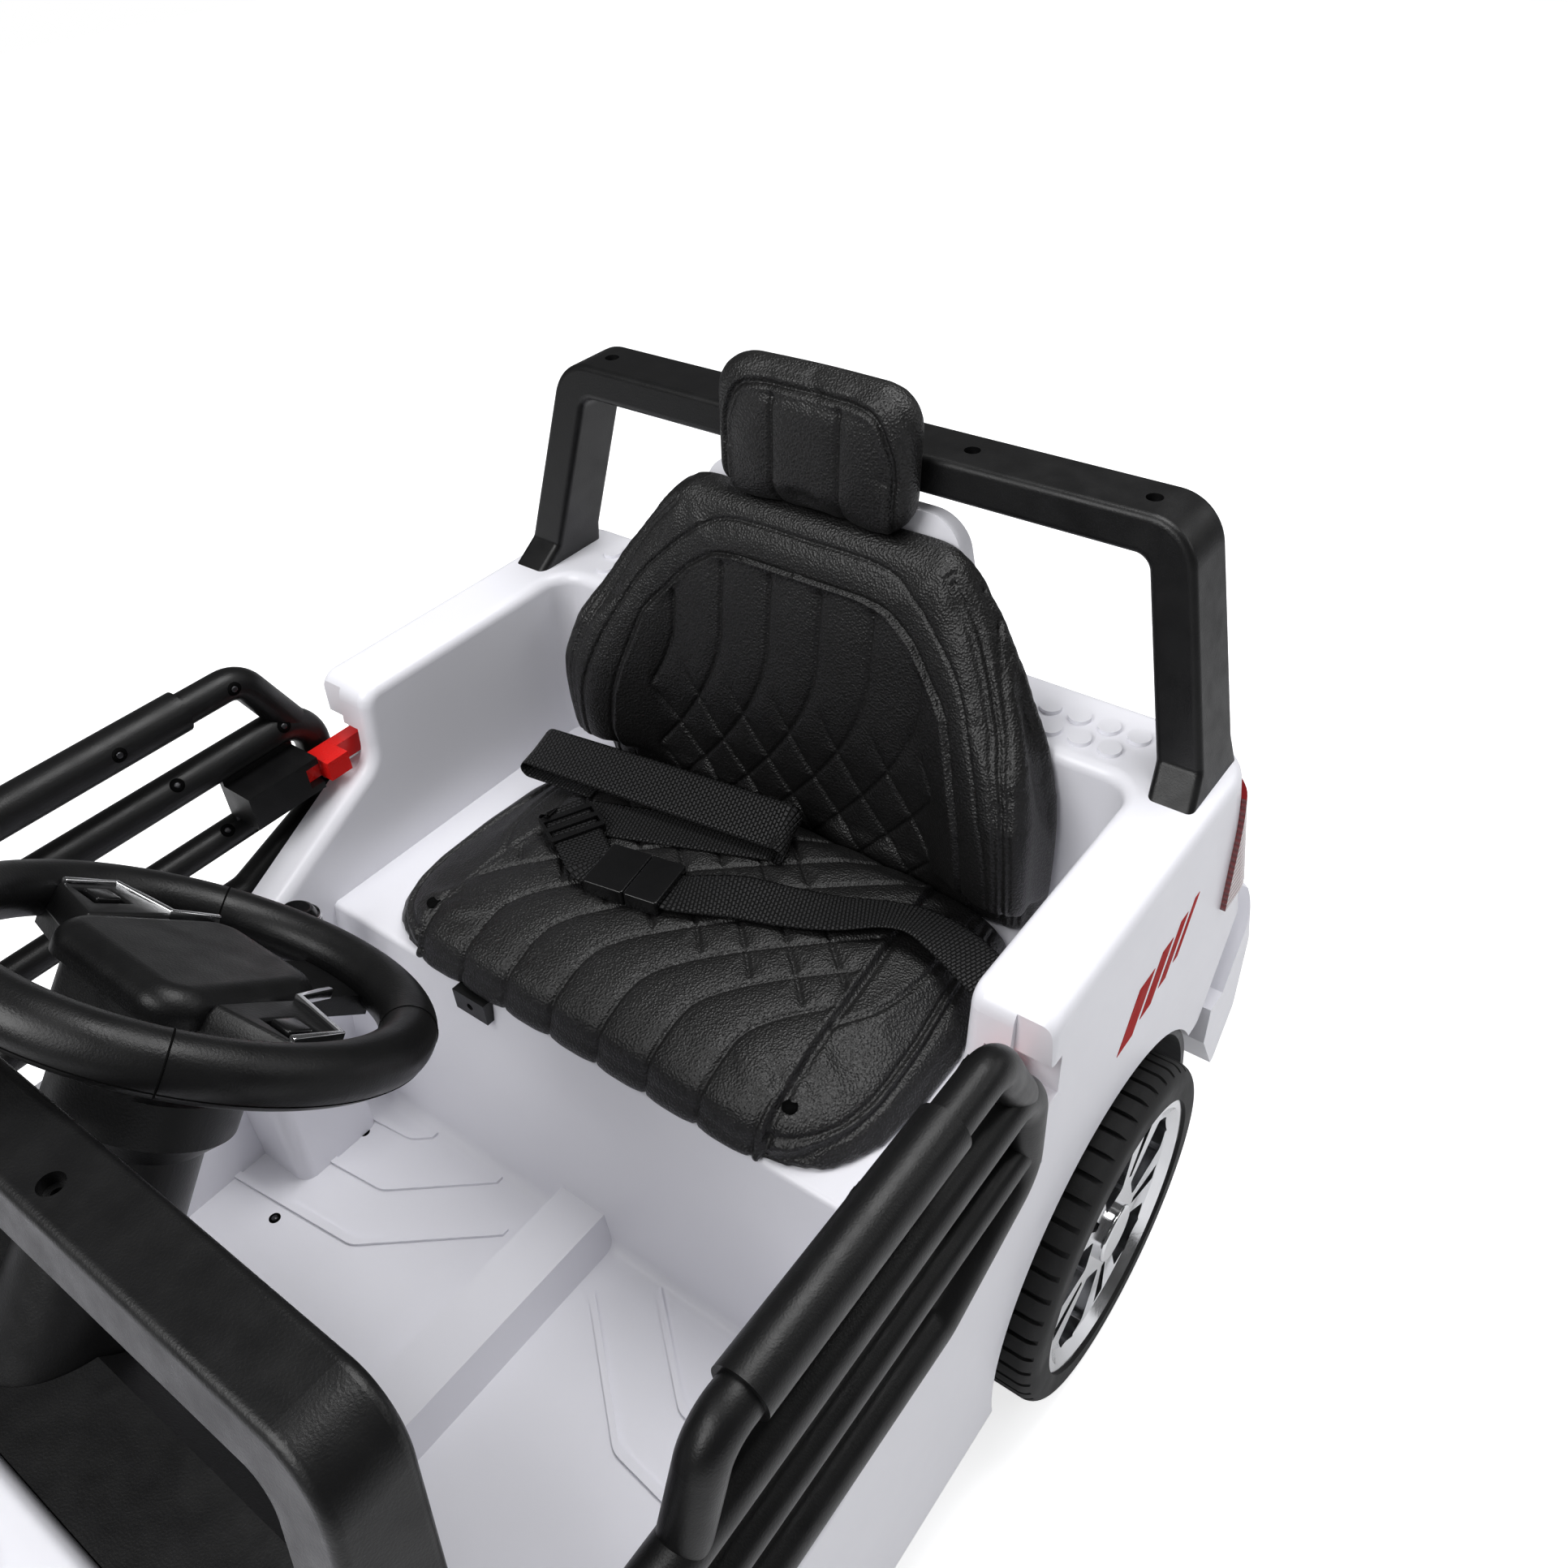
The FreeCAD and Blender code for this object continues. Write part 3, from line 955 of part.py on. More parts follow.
def make_steering_wheel():
    ring = DOC.addObject("Part::Torus", "ring")
    bind(ring, Radius1="steer_ring_radius", Radius2="steer_tube_radius")
    hub = new_body()
    pad(hub, "XY", rectangle(even("steer_hub_half_width"), ("steer_hub_front", "steer_hub_rear"),
                             "steer_hub_round"), "steer_hub_top - steer_hub_low", offset="steer_hub_low")
    arms = new_body()
    half = [("spoke_reach", "-spoke_tip_half_width"), ("spoke_reach", "spoke_tip_half_width"),
            ("steer_hub_half_width", "side_spoke_half_width")]
    side = [("steer_hub_half_width", "-side_spoke_half_width")] + half
    pad(arms, "XY", side + [("-" + x, y) for x, y in side[::-1]], "spoke_top - spoke_low",
        offset="spoke_low")
    spokes = [arms, box(even("low_spoke_half_width"), ("0", "spoke_reach"), ("spoke_low", "spoke_top"))]
    sockets = []
    room = "spoke_button_half + clearance"
    for sign in SIDES.values():
        depth = "spoke_button_depth + spoke_button_travel + clearance"
        sockets.append(box(about(sign + " * spoke_button_x", room), even(room),
                           ("spoke_top - (%s)" % depth, "spoke_top + overrun")))
    bore = rod("Z", "shaft_radius + running_gap", "shaft_radius", "0", "0", "steer_hub_low - overrun")
    return node("steering_wheel", on_column(cut(join(ring, hub, *spokes), bore, *sockets)))


def make_steering_pad():
    body = new_body()
    pad(body, "XY", [("-pad_half_width", "pad_front", "pad_round"),
                     ("pad_half_width", "pad_front", "pad_round"),
                     ("pad_rear_half_width", "pad_rear", "pad_round"),
                     ("-pad_rear_half_width", "pad_rear", "pad_round")], "pad_height",
        offset="steer_hub_top")
    soften(body, "pad_edge_round", lambda p: near(p.z, "steer_hub_top + pad_height"))
    return node("steering_pad", on_column(body))


def make_steering_trim():
    """Bright angled strip on each side spoke."""
    strips = []
    for sign in SIDES.values():
        body = new_body()
        outside = [("trim_inner_x", "trim_half_width"), ("trim_bend_x", "trim_half_width"),
                   ("trim_outer_x", "trim_tip_half_width")]
        inside = [("trim_outer_x - trim_width", "trim_tip_half_width - trim_width / 2"),
                  ("trim_bend_x - trim_width / 2", "trim_half_width - trim_width"),
                  ("trim_inner_x", "trim_half_width - trim_width")]
        half = outside[::-1] + inside[::-1]
        ring = [(x, "-(%s)" % y) for x, y in half[::-1]] + half
        pad(body, "XY", [("%s * (%s)" % (sign, x), y) for x, y in ring], "trim_thickness",
            offset="spoke_top")
        strips.append(body)
    return node("steering_trim", on_column(group(*strips)))


def make_spoke_button(side, sign):
    body = new_body()
    pad(body, "XY", rectangle(about(sign + " * spoke_button_x", "spoke_button_half"),
                              even("spoke_button_half")), "spoke_button_depth + spoke_button_proud",
        offset="spoke_top - spoke_button_depth")
    soften(body, "spoke_button_proud / 3", lambda p: near(p.z, "spoke_top + spoke_button_proud"))
    return node("spoke_button_" + side, on_column(body))


def make_steering_shaft():
    """Shaft with a crank at its foot that moves the tie rod."""
    top = "steer_hub_low - overrun + shaft_radius"
    shaft = rod("Z", "shaft_radius", "shaft_end + (%s)" % top, "0", "0", "-shaft_end")
    arm = box(even("crank_half_width"), ("-crank_radius", "0"),
              ("-shaft_end", "-shaft_end + crank_thickness"))
    tip = rod("Z", "crank_half_width", "crank_thickness", "0", "-crank_radius", "-shaft_end")
    pin = rod("Z", "crank_pin_radius", "crank_pin_length + crank_thickness", "0", "-crank_radius",
              "-shaft_end - crank_pin_length")
    return node("steering_shaft", on_column(join(shaft, arm, tip, pin)))


def make_column_shroud():
    body = new_body()
    bore = "shaft_radius + running_gap"
    revolve(body, "XZ", [(bore, "-shroud_top"), ("shroud_collar_radius", "-shroud_top"),
                         ("shroud_collar_radius", "-shroud_collar_low"),
                         ("shroud_neck_radius", "-shroud_collar_low - shell_wall"),
                         ("shroud_end_radius", "-shroud_end"), (bore, "-shroud_end")], "Z")
    return node("column_shroud", on_column(body))


ROCKER_PIN_Y = "dash_rear_y - rocker_half_depth / 3"


def make_dashboard():
    body = new_body()
    pad(body, "YZ", [("firewall_y + clearance", "dash_low_z"), ("dash_rear_y", "dash_low_z", "dash_round"),
                     ("dash_rear_y", "dash_top_z - dash_round"), ("dash_lip_y", "dash_top_z"),
                     ("bonnet_rear_y + clearance", "dash_top_z"),
                     ("bonnet_rear_y + clearance", top_line("bonnet_rear_y") + " - clearance"),
                     ("firewall_y + clearance", top_line("firewall_y") + " - clearance")],
        "2 * (inner_half_width - clearance)", symmetric=True)
    tools = [on_column(rod("Z", "shroud_end_radius + clearance", "shaft_end"), "-shaft_end")]
    tools.append(box(about("rocker_x", "rocker_half_width + clearance"),
                     ("dash_rear_y - rocker_half_depth - rocker_room * 2", "dash_rear_y + overrun"),
                     about("rocker_z", "rocker_half_height + rocker_room")))
    tools.append(rocker_pin("running_gap", "clearance"))
    return node("dashboard", cut(body, *tools))


def rocker_pin(wider="0", longer="0"):
    """Cross pin that the power rocker tips on."""
    half = "(rocker_half_width + rocker_pin_length + %s)" % longer
    return rod("X", "rocker_pin_radius + " + wider, "2 * " + half, "rocker_x - " + half, ROCKER_PIN_Y,
               "rocker_z")


def make_power_switch():
    body = new_body()
    pad(body, "YZ", [("dash_rear_y - rocker_half_depth", "rocker_z - rocker_half_height"),
                     ("dash_rear_y + rocker_half_depth", "rocker_z - rocker_half_height"),
                     ("dash_rear_y + rocker_half_depth / 2", "rocker_z"),
                     ("dash_rear_y + rocker_half_depth", "rocker_z + rocker_half_height"),
                     ("dash_rear_y - rocker_half_depth", "rocker_z + rocker_half_height")],
        "2 * rocker_half_width", offset="rocker_x - rocker_half_width")
    return node("power_switch", join(body, rocker_pin()))


# Pedal and direction lever

def make_pedal():
    body = new_body()
    axle_z = "floor_top + pedal_barrel_radius + clearance"
    pad(body, "YZ", [("pedal_heel_y", axle_z + " - pedal_barrel_radius"),
                     ("pedal_heel_y", axle_z + " + pedal_barrel_radius / 2"),
                     ("pedal_toe_y", "pedal_toe_z"),
                     ("pedal_toe_y - pedal_thickness", "pedal_toe_z - pedal_thickness")],
        "2 * pedal_half_width", offset="pedal_x - pedal_half_width")
    barrel = rod("X", "pedal_barrel_radius", "2 * pedal_half_width", "pedal_x - pedal_half_width",
                 "pedal_heel_y", axle_z)
    return node("accelerator_pedal", join(body, barrel))


def make_direction_lever():
    """Lever with a round knob, leaning back, on a cross barrel inside the console."""
    half = "(console_half_width - console_wall - clearance)"
    knob = new_body()
    revolve(knob, "XZ", [("0", "lever_length - knob_radius"), ("knob_neck", "lever_length - knob_radius"),
                         ("knob_radius", "lever_length", "knob_radius / 2"),
                         ("knob_neck", "lever_length + knob_radius * 2 / 3", "knob_neck / 3"),
                         ("0", "lever_length + knob_radius * 2 / 3")], "Z")
    barrel = rod("X", "lever_barrel_radius", "2 * " + half, "-" + half)
    lever = join(rod("Z", "lever_radius", "lever_length"), barrel, knob)
    return node("direction_lever", place(lever, "-console_x", "lever_pivot_y", "lever_pivot_z", (1, 0, 0),
                                         "-lever_tilt"))


# Roll bar and windscreen frame: a front view, trimmed to a side view and softened

def hoop(foot_outer, foot_inner, top_outer, top_inner, foot_z, under, top, outer_round, inner_round):
    """Front view of an upright bar with two legs."""
    half = [(foot_outer, foot_z), (top_outer, top, outer_round)]
    inside = [(top_inner, under, inner_round), (foot_inner, foot_z)]
    mirrored = [("-" + corner[0],) + corner[1:] for corner in half[::-1] + inside[::-1]]
    return half + mirrored + inside


def trim_hoop(body, front, rear, low, high):
    """Take away what lies ahead of one side line and behind another."""
    below, above = low + " - overrun", high + " + overrun"
    for line, way in ((front, "-1"), (rear, "1")):
        foot, head = line[0][0], line[-1][0]
        far = "%s + %s * %s" % (foot, way, high)
        away = [(foot, below)] + line + [(head, above), (far, above), (far, below)]
        pocket(body, "YZ", away, "2 * body_half_width + 2 * overrun", symmetric=True)


def screw_holes(body, places, y, top):
    """Screw holes with sunk heads down through a bar."""
    for radius, depth in (("bar_screw_radius", "bar_depth + screen_depth"),
                          ("bar_sink_radius", "bar_sink_depth")):
        discs = [("%s * %s" % (sign, x), y, radius) for x in places for sign in SIDES.values()]
        pocket(body, "XY", {"discs": discs}, depth, offset=top)


def make_roll_bar():
    body = new_body()
    front_view = hoop("bar_foot_outer_x", "bar_foot_inner_x", "bar_top_outer_x", "bar_top_inner_x",
                      "wall_top", "bar_under", "bar_top", "bar_outer_round", "bar_inner_round")
    pad(body, "XZ", front_view, "bar_top_rear_y - bar_foot_front_y + 2 * overrun",
        offset="-bar_top_rear_y - overrun")
    trim_hoop(body, [("bar_foot_front_y", "wall_top"), ("bar_kink_y", "bar_kink_z"),
                     ("bar_top_front_y", "bar_top")],
              [("bar_foot_rear_y", "wall_top"), ("bar_rear_kink_y", "bar_kink_z"),
               ("bar_top_rear_y", "bar_top")], "wall_top", "bar_top")
    soften(body, "bar_edge_round", lambda p: p.z > number("wall_top + overrun"))
    screw_holes(body, ("bar_screw_outer_x", "bar_screw_inner_x"), "bar_screw_y", "bar_top")
    return node("roll_bar", body)


def make_windscreen_frame():
    body = new_body()
    front_view = hoop("screen_foot_outer_x", "screen_foot_inner_x", "screen_top_outer_x",
                      "screen_top_inner_x", "cowl_z", "screen_under", "screen_top", "screen_outer_round",
                      "screen_inner_round")
    pad(body, "XZ", front_view, "screen_top_rear_y - screen_foot_front_y + 2 * overrun",
        offset="-screen_top_rear_y - overrun")
    trim_hoop(body, [("screen_foot_front_y", "cowl_z"), ("screen_top_front_y", "screen_top")],
              [("screen_foot_rear_y", "cowl_z"), ("screen_top_rear_y", "screen_top")], "cowl_z",
              "screen_top")
    soften(body, "bar_edge_round", lambda p: p.z > number("cowl_z + overrun"))
    screw_holes(body, ("bar_screw_inner_x",), "screen_screw_y", "screen_top")
    return node("windscreen_frame", body)


# Doors

def tube(sign, corners, radius):
    """Bent tube in the door's plane."""
    path = DOC.addObject("Sketcher::SketchObject", "path")
    path.Placement = Placement(Vector(), Rotation(Vector(1, 1, 1), 120))
    bind(path, Placement__Base__x=sign + " * door_x")
    outline(path, corners, closed=False)
    ring = DOC.addObject("Sketcher::SketchObject", "ring")
    DOC.recompute()
    first = path.Shape.Edges[0]
    start, heading = first.valueAt(first.FirstParameter), first.tangentAt(first.FirstParameter)
    disc(ring, "0", "0", radius)
    ring.Placement = Placement(start, Rotation(Vector(0, 0, 1), heading))
    sweep = DOC.addObject("Part::Sweep", "tube")
    sweep.Sections = [ring]
    sweep.Spine = (path, ["Edge%d" % i for i in range(1, len(path.Shape.Edges) + 1)])
    sweep.Solid = True
    sweep.Frenet = False
    return sweep


def make_door(side, sign):
    x = sign + " * door_x"
    frame = tube(sign, [("door_hinge_y", "door_top_z"), ("door_rear_y", "door_top_z", "door_bend"),
                        ("door_rear_y", "door_knee_z", "door_bend"),
                        ("door_low_y", "door_low_z", "door_bend"), ("door_hinge_y", "door_low_z")],
                 "door_tube_radius")
    handle = tube(sign, [("grip_front_y", "door_top_z"), ("grip_front_top_y", "grip_z", "grip_bend"),
                         ("grip_rear_top_y", "grip_z", "grip_bend"), ("grip_rear_y", "door_top_z")],
                  "grip_radius")
    stile = rod("Z", "door_tube_radius", "door_top_z - door_low_z + 2 * door_tube_radius", x,
                "door_hinge_y", "door_low_z - door_tube_radius")
    rail = rod("Y", "door_mid_radius", "door_rear_y - door_hinge_y", x, "door_hinge_y", "door_mid_z")
    plate = ("latch_outer_x", "latch_outer_x + latch_plate_thickness")
    if sign == "-1":
        plate = tuple("-(%s)" % text for text in plate[::-1])
    web = box(plate, ("latch_front_y", "latch_rear_y"), ("door_mid_z", "door_top_z"))
    node("door_frame_" + side, join(frame, handle, stile, rail, web))
    length = "sleeve_rear_y - sleeve_front_y"
    node("door_grip_" + side, cut(rod("Y", "sleeve_radius", length, x, "sleeve_front_y", "grip_z"),
                                  rod("Y", "grip_radius + running_gap", length, x, "sleeve_front_y",
                                      "grip_z")))
    make_latch(side, sign)


def make_latch(side, sign):
    """Latch housing with a channel, and the slider that runs in it."""
    block = box(across(sign, "latch_inner_x", "latch_outer_x"), ("latch_front_y", "latch_rear_y"),
                ("latch_low_z", "latch_high_z"))
    channel = box(across(sign, "bolt_inner_x - clearance", "bolt_outer_x + clearance"),
                  ("bolt_front_y - bolt_travel - overrun", "latch_rear_y + overrun"),
                  ("bolt_low_z - clearance", "bolt_high_z + clearance"))
    notch = box(across(sign, "latch_inner_x - overrun", "bolt_inner_x"),
                ("thumb_front_y - bolt_travel - clearance", "latch_rear_y + overrun"),
                ("bolt_low_z - clearance", "bolt_high_z + clearance"))
    node("latch_housing_" + side, cut(block, channel, notch))
    bolt = box(across(sign, "bolt_inner_x", "bolt_outer_x"), ("bolt_front_y", "bolt_rear_y"),
               ("bolt_low_z", "bolt_high_z"))
    thumb = box(across(sign, "thumb_inner_x", "bolt_inner_x"), ("thumb_front_y", "thumb_rear_y"),
                ("bolt_low_z", "bolt_high_z"))
    node("latch_slider_" + side, join(bolt, thumb))


def make_door_hinges():
    """Ring brackets on the front pillars that the door stiles turn in."""
    brackets = []
    for sign in SIDES.values():
        x = sign + " * door_x"
        for low in ("hinge_low_z", "hinge_high_z"):
            ring = rod("Z", "hinge_ring_radius", "hinge_height", x, "door_hinge_y", low)
            arm = box(across(sign, "hinge_arm_inner_x", "body_half_width"), ("tub_front_y", "door_hinge_y"),
                      (low, low + " + hinge_height"))
            hole = rod("Z", "door_tube_radius + running_gap", "hinge_height + 2 * overrun", x,
                       "door_hinge_y", low + " - overrun")
            brackets.append(cut(join(ring, arm), hole))
    return node("door_hinges", group(*brackets))


# Seat: lofted cushions with channels

def cushion_section(half, panel, base, edge, crown, rise, depth, draw, channels, place_point):
    """Closed section: flat back, drawn-in sides, raised bolsters and a channelled panel between them."""
    def spot(across_value, height):
        return place_point(across_value, height)

    def bow(first, last, bulge):
        middle = ((first[0] + last[0]) / 2 + bulge[0], (first[1] + last[1]) / 2 + bulge[1])
        return Part.Arc(spot(*first), spot(*middle), spot(*last)).toShape()

    right = [(half, base), (half - draw, edge), (panel, crown)]
    edges = [Part.LineSegment(spot(-half, base), spot(half, base)).toShape()]
    edges.append(bow(right[0], right[1], (draw / 2, 0)))
    edges.append(bow(right[1], right[2], (0, rise)))
    step = 2 * panel / channels
    for i in range(channels):
        start = panel - i * step
        edges.append(bow((start, crown), (start - step, crown), (0, depth)))
    edges.append(bow((-panel, crown), (draw - half, edge), (0, rise)))
    edges.append(bow((draw - half, edge), (-half, base), (-draw / 2, 0)))
    return Part.Wire(Part.__sortEdges__(edges))


def loft_node(name, wires):
    solid = DOC.addObject("Part::Feature", name)
    solid.Shape = Part.makeLoft(wires, True, True)
    return node(name, solid)


# Shares along the seat: place from front to back, half width, panel half width, height
SEAT_SHARES = ((0, 0.74, 0.94, 0.62), (0.03, 0.8, 0.97, 0.86), (0.08, 0.88, 1, 0.96), (0.2, 0.97, 1, 1),
               (0.55, 1, 1, 0.98), (0.88, 0.97, 0.94, 0.95), (1, 0.92, 0.88, 0.9))
SEAT_CHANNELS = 7


def make_seat_base():
    wires = []
    base = number("deck_top + seat_gap")
    for along, wide, panel, tall in SEAT_SHARES:
        y = number("seat_front_y") + along * number("seat_rear_y - seat_front_y")
        top = base + tall * number("seat_thickness")
        wires.append(cushion_section(wide * number("seat_half_width"),
                                     panel * number("seat_panel_half_width"), base,
                                     top - number("seat_bolster_rise"), top, number("seat_bolster_rise"),
                                     number("seat_channel_depth"), number("seat_side_draw"), SEAT_CHANNELS,
                                     lambda u, v, y=y: Vector(u, y, v)))
    return loft_node("seat_base_cushion", wires)


# Shares up the seat back: height, half width, panel half width, thickness, depth of the wings at its sides
BACK_SHARES = ((0, 1, 0.96, 0.9, 0.41), (0.17, 1, 0.98, 1, 0.47), (0.22, 1.01, 0.98, 1, 0.98),
               (0.45, 1, 1, 1.02, 0.98), (0.55, 0.97, 0.98, 1.02, 0.88), (0.74, 0.81, 0.88, 1.02, 0.62),
               (0.88, 0.65, 0.7, 1, 0.52), (0.96, 0.56, 0.62, 0.9, 0.44), (1, 0.44, 0.52, 0.66, 0.3))
BACK_CHANNELS = 5


def make_seat_back():
    wires = []
    low = number("deck_top + seat_gap")
    deck, lean = number("wall_top"), number("hump_rake / (hump_top - wall_top)")
    for up, wide, panel, thick, wing in BACK_SHARES:
        z = low + up * number("back_height")
        rear = number("pocket_rear_y - seat_gap")
        if z > deck:
            rear = number("hump_front_y - 2 * seat_gap") + (z - deck) * lean
        front = rear - thick * number("back_thickness")
        rise = number("back_bolster_rise")
        wires.append(cushion_section(wide * number("back_half_width"),
                                     panel * number("back_panel_half_width"), rear,
                                     rear - wing * number("back_wing_depth"), front, -rise / 2,
                                     -number("back_channel_depth"), number("back_side_draw"), BACK_CHANNELS,
                                     lambda u, v, z=z: Vector(u, v, z)))
    return loft_node("seat_back_cushion", wires)


# Shares up the headrest: height, half width, panel half width, thickness
HEADREST_SHARES = ((0, 0.86, 0.9, 0.8), (0.1, 0.95, 0.98, 0.96), (0.5, 1, 1, 1), (0.85, 0.98, 1, 0.94),
                   (0.95, 0.93, 0.97, 0.8), (1, 0.84, 0.88, 0.55))
HEADREST_CHANNELS = 3


def make_headrest():
    wires = []
    for up, wide, panel, thick in HEADREST_SHARES:
        z = number("headrest_low_z") + up * number("headrest_height")
        rear = number("headrest_rear_y")
        front = rear - thick * (rear - number("headrest_front_y") - up * number("headrest_lean"))
        crown = number("headrest_crown")
        wires.append(cushion_section(wide * number("headrest_half_width"),
                                     panel * number("headrest_panel_half_width"), rear, front + crown,
                                     front, -crown / 2, -number("headrest_channel_depth"), crown / 2,
                                     HEADREST_CHANNELS, lambda u, v, z=z: Vector(u, v, z)))
    return loft_node("headrest", wires)


# Seat belt: webbing, adjuster and buckle, lying buckled on the seat

SEAT_CROWN = "deck_top + seat_gap + seat_thickness + seat_channel_depth + clearance"
UP = Vector(0, 0, 1)


def on_seat(x, y, lift):
    """Point a little way above the seat's crown."""
    return Vector(number(x), number(y), number("%s + %s" % (SEAT_CROWN, lift)))


def strap(stations):
    """Webbing through (middle, width direction) stations."""
    wires = []
    last = len(stations) - 1
    for i, (middle, wide) in enumerate(stations):
        ahead = stations[min(i + 1, last)][0] - stations[max(i - 1, 0)][0]
        reach = wide * number("belt_width / 2")
        depth = wide.cross(ahead).normalize() * number("belt_thickness / 2")
        ring = [middle - reach - depth, middle + reach - depth, middle + reach + depth,
                middle - reach + depth]
        wires.append(Part.makePolygon(ring + ring[:1]))
    solid = DOC.addObject("Part::Feature", "webbing")
    solid.Shape = Part.makeLoft(wires, True, True)
    return solid


def crossways(first, last):
    """Level direction square to the way from one point to another."""
    ahead = last - first
    ahead.z = 0
    return UP.cross(ahead).normalize()


def heading(turn):
    """Level direction at an angle from +X."""
    return Rotation(UP, number(turn)).multVec(Vector(1, 0, 0))


def half_turn(centre, outward, radius, steps, upward):
    """Points of a half circle that starts below its centre, or above it."""
    points = []
    for i in range(steps + 1):
        angle = math.pi * (i / steps - 1 / 2) * (1 if upward else -1)
        points.append(centre + outward * radius * math.cos(angle) + UP * radius * math.sin(angle))
    return points


def make_belt_right():
    """Slack webbing: looped up on the right, folded under on the left, then back round the adjuster."""
    low = "belt_thickness / 2"
    loop = on_seat("belt_loop_x", "belt_loop_y", low + " + belt_loop_radius")
    fold = on_seat("belt_fold_x", "belt_fold_y", low + " + belt_bend")
    end = on_seat("adjuster_end_x", "adjuster_end_y", low + " + belt_bend")
    adjuster = on_seat("adjuster_x", "adjuster_y", "adjuster_lift + adjuster_height / 2")
    buckle = on_seat("buckle_x", "buckle_y", "buckle_height / 2")
    wide, returning, last = crossways(loop, fold), crossways(end, fold), crossways(adjuster, buckle)
    ahead, back = wide.cross(UP), returning.cross(UP) * -1
    rise = half_turn(loop, ahead * -1, number("belt_loop_radius"), 6, True)
    stations = [(rise[0] + ahead * number("belt_tuck"), wide)] + [(point, wide) for point in rise]
    stations += [(point, wide) for point in half_turn(fold, ahead, number("belt_bend"), 4, False)]
    bend = half_turn(end, back, number("belt_bend"), 4, True)
    for i, point in enumerate(bend):
        share = i / (len(bend) - 1)
        stations.append((point, (returning * (1 - share) + last * share).normalize()))
    entry = heading("buckle_turn") * number("belt_entry")
    stations += [(adjuster, last), (buckle - entry, UP.cross(entry).normalize())]
    stations.append((buckle + entry, UP.cross(entry).normalize()))
    return node("belt_strap_right", strap(stations))


def make_belt_left():
    """Webbing from the buckle over the seat and down beside it."""
    low = "belt_thickness / 2"
    tongue = on_seat("tongue_x", "tongue_y", "buckle_height / 2")
    entry = heading("buckle_turn") * number("belt_entry")
    middle = on_seat("belt_mid_x", "belt_mid_y", low)
    edge = on_seat("belt_side_x - 2 * belt_side_bend", "belt_side_y", low)
    across_car = Vector(0, 1, 0)
    stations = [(tongue - entry, UP.cross(entry).normalize()),
                (tongue + entry, UP.cross(entry).normalize())]
    stations += [(middle, crossways(tongue, edge)), (edge, across_car)]
    centre = on_seat("belt_side_x - belt_side_bend", "belt_side_y", low + " - belt_side_bend")
    for angle in (math.pi / 2, math.pi / 3, math.pi / 6, 0):
        out = Vector(math.cos(angle), 0, math.sin(angle)) * number("belt_side_bend")
        stations.append((centre + out, across_car))
    foot = stations[-1][0]
    stations.append((Vector(foot.x, foot.y, number("deck_top + clearance")), across_car))
    return node("belt_strap_left", strap(stations))


def on_belt(body, x, y, turn, lift="0"):
    """Lay a part of the belt on the seat."""
    return place(body, x, y, "%s + %s" % (SEAT_CROWN, lift), (0, 0, 1), turn)


def slab(body, length, half_width, height, corner, start="0"):
    """Rounded plate from a start along X."""
    pad(body, "XY", [(start, "-" + half_width, corner),
                     ("%s + %s" % (start, length), "-" + half_width, corner),
                     ("%s + %s" % (start, length), half_width, corner), (start, half_width, corner)],
        height)


def webbing_slot(body, depth, height, offset, back):
    """Slot for the webbing in an end face."""
    half = "(belt_width / 2 + clearance)"
    low, high = "%s / 2 - belt_slot / 2" % height, "%s / 2 + belt_slot / 2" % height
    pocket(body, "YZ", [("-" + half, low), (half, low), (half, high), ("-" + half, high)], depth,
           offset=offset, back=back)


def make_adjuster():
    body = new_body()
    slab(body, "adjuster_length", "buckle_half_width", "adjuster_height", "adjuster_bar / 2",
         "-adjuster_length / 2")
    webbing_slot(body, "adjuster_length + 2 * overrun", "adjuster_height", "-adjuster_length / 2 - overrun",
                 True)
    for start in ("-adjuster_length / 2 + adjuster_bar", "adjuster_bar / 2"):
        end = "%s + adjuster_length / 2 - adjuster_bar * 3 / 2" % start
        half = "(belt_width / 2 + clearance)"
        pocket(body, "XY", [(start, "-" + half), (end, "-" + half), (end, half), (start, half)],
               "adjuster_height", offset="adjuster_height + overrun")
    return node("belt_adjuster", on_belt(body, "adjuster_x", "adjuster_y", "adjuster_turn",
                                         "adjuster_lift"))


def make_buckle():
    socket = new_body()
    slab(socket, "buckle_length", "buckle_half_width", "buckle_height", "adjuster_bar / 2")
    webbing_slot(socket, "belt_entry + 2 * overrun", "buckle_height", "-overrun", True)
    room = "(buckle_neck + clearance)"
    low, high = "buckle_height / 4 - clearance", "buckle_height * 3 / 4 + clearance"
    pocket(socket, "YZ", [("-" + room, low), (room, low), (room, high), ("-" + room, high)],
           "buckle_neck + 2 * clearance", offset="buckle_length")
    soften(socket, "adjuster_bar / 4", lambda p: near(p.z, "buckle_height"))
    node("belt_buckle_socket", on_belt(socket, "buckle_x", "buckle_y", "buckle_turn"))
    tongue = new_body()
    slab(tongue, "tongue_length", "buckle_half_width", "buckle_height", "adjuster_bar / 2",
         "buckle_length + clearance")
    webbing_slot(tongue, "belt_entry + 2 * overrun", "buckle_height",
                 "buckle_length + clearance + tongue_length + overrun", False)
    soften(tongue, "adjuster_bar / 4", lambda p: near(p.z, "buckle_height"))
    pad(tongue, "YZ", [("-buckle_neck", "buckle_height / 4"), ("buckle_neck", "buckle_height / 4"),
                       ("buckle_neck", "buckle_height * 3 / 4"), ("-buckle_neck", "buckle_height * 3 / 4")],
        "buckle_neck + 2 * clearance", offset="buckle_length - buckle_neck + clearance")
    node("belt_buckle_tongue", on_belt(tongue, "buckle_x", "buckle_y", "buckle_turn"))


# The whole car

